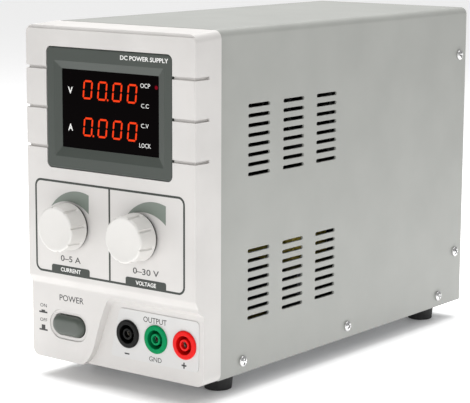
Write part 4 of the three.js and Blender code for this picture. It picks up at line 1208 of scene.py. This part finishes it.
def make_inlet_pins():
    """The three flat blades standing in the socket."""
    cx = middle("mains_inlet")[0]
    rear = node_box("mains_inlet")[1][1]
    pins = []
    for dx, z in PIN_PLACES:
        x0, z0 = cx + dx - PIN_WIDTH / 2, z - PIN_HEIGHT / 2
        x1, z1 = x0 + PIN_WIDTH, z0 + PIN_HEIGHT
        outline = [(x0, z0), (x1, z0), (x1, z1), (x0, z1)]
        pins.append(slab(outline, rear - PIN_ROOT, rear - PIN_TIP, 0, 0.6))
    place("inlet_blades", joined(*pins), "nickel")
    screws = []
    reach, height = INLET_SCREWS
    for hand in (-1, 1):
        seat = (cx + hand * reach, rear, height)
        screws.append(driven(pan_head(3.1, 1.8, 1.7, 5), 55 + 40 * hand, 180, "Z", seat))
    place("inlet_screws", joined(*screws), "screw")


# ---- plain parts with rounded edges
SHEET_EDGE, FINE_EDGE, MOULDED_EDGE = 0.2, 0.15, 0.45
PLAIN = (
    ("zinc", "zinc_steel", SHEET_EDGE, (
        "chassis_pan", "current_encoder", "voltage_encoder", "current_shaft", "voltage_shaft",
    )),
    ("cover", "cover_paint", SHEET_EDGE, ("rear_panel",)),
    ("board", "board", FINE_EDGE, ("display_board", "main_board")),
    ("black", "black_plastic", MOULDED_EDGE, (
        "mains_inlet", "voltage_selector", "fuse_drawer", "fan_frame", "power_switch",
        "voltage_digits", "current_digits", "bridge_rectifier", "series_transistor",
    )),
    ("black", "black_plastic", FINE_EDGE, ("fan_rotor", "current_rotor", "voltage_rotor")),
    ("core", "core_steel", MOULDED_EDGE, ("transformer_core",)),
    ("tape", "coil_tape", MOULDED_EDGE * 3, ("transformer_coil",)),
    ("sleeve", "sleeve", MOULDED_EDGE, ("filter_capacitor_left", "filter_capacitor_right")),
    ("aluminium", "aluminium", SHEET_EDGE, ("heatsink",)),
    ("label", "glass", FINE_EDGE, ("fuse",)),
    ("knob", "knob_plastic", FINE_EDGE, ("power_plunger",)),
    ("jack_red", "red_plastic", FINE_EDGE, ("selector_slider",)),
    ("nickel", "nickel", FINE_EDGE, [f"{node}_contact" for node in JACK_NODES]),
    ("nickel", "nickel", FINE_EDGE, [f"{node}_nut" for node in JACK_NODES]),
)


def make_plain_parts():
    """Every part that needs only rounded edges and a finish."""
    bodies = frame["record"]["behaviour"]["bodies"]
    rides = {node: body for body, nodes in bodies.items() for node in nodes}
    to_case = Matrix.Scale(1 / MM, 4) @ Matrix.Translation(-ORIGIN)
    for material, slot, edge, nodes in PLAIN:
        for node in nodes:
            source = frame["nodes"][node]
            mesh = source.data.copy()
            mesh.transform(to_case @ source.matrix_world)
            tidy(mesh, 1e-3)
            mesh = soften(mesh, edge, 2, lambda co: True, 33)
            place(f"{node}_form", mesh, material, rides[node], [node], smooth=40)


# ---- the whole
make_camera()
make_studio()
make_fascia()
make_printing()
make_bezel()
make_window()
make_readings()
for control in ("current", "voltage"):
    make_knob(control)
make_button()
make_output_label()
for jack, finish in JACKS.items():
    make_jack(jack, *finish)
make_cover()
make_side_screws()
make_feet()
make_guard()
make_inlet_pins()
make_plain_parts()
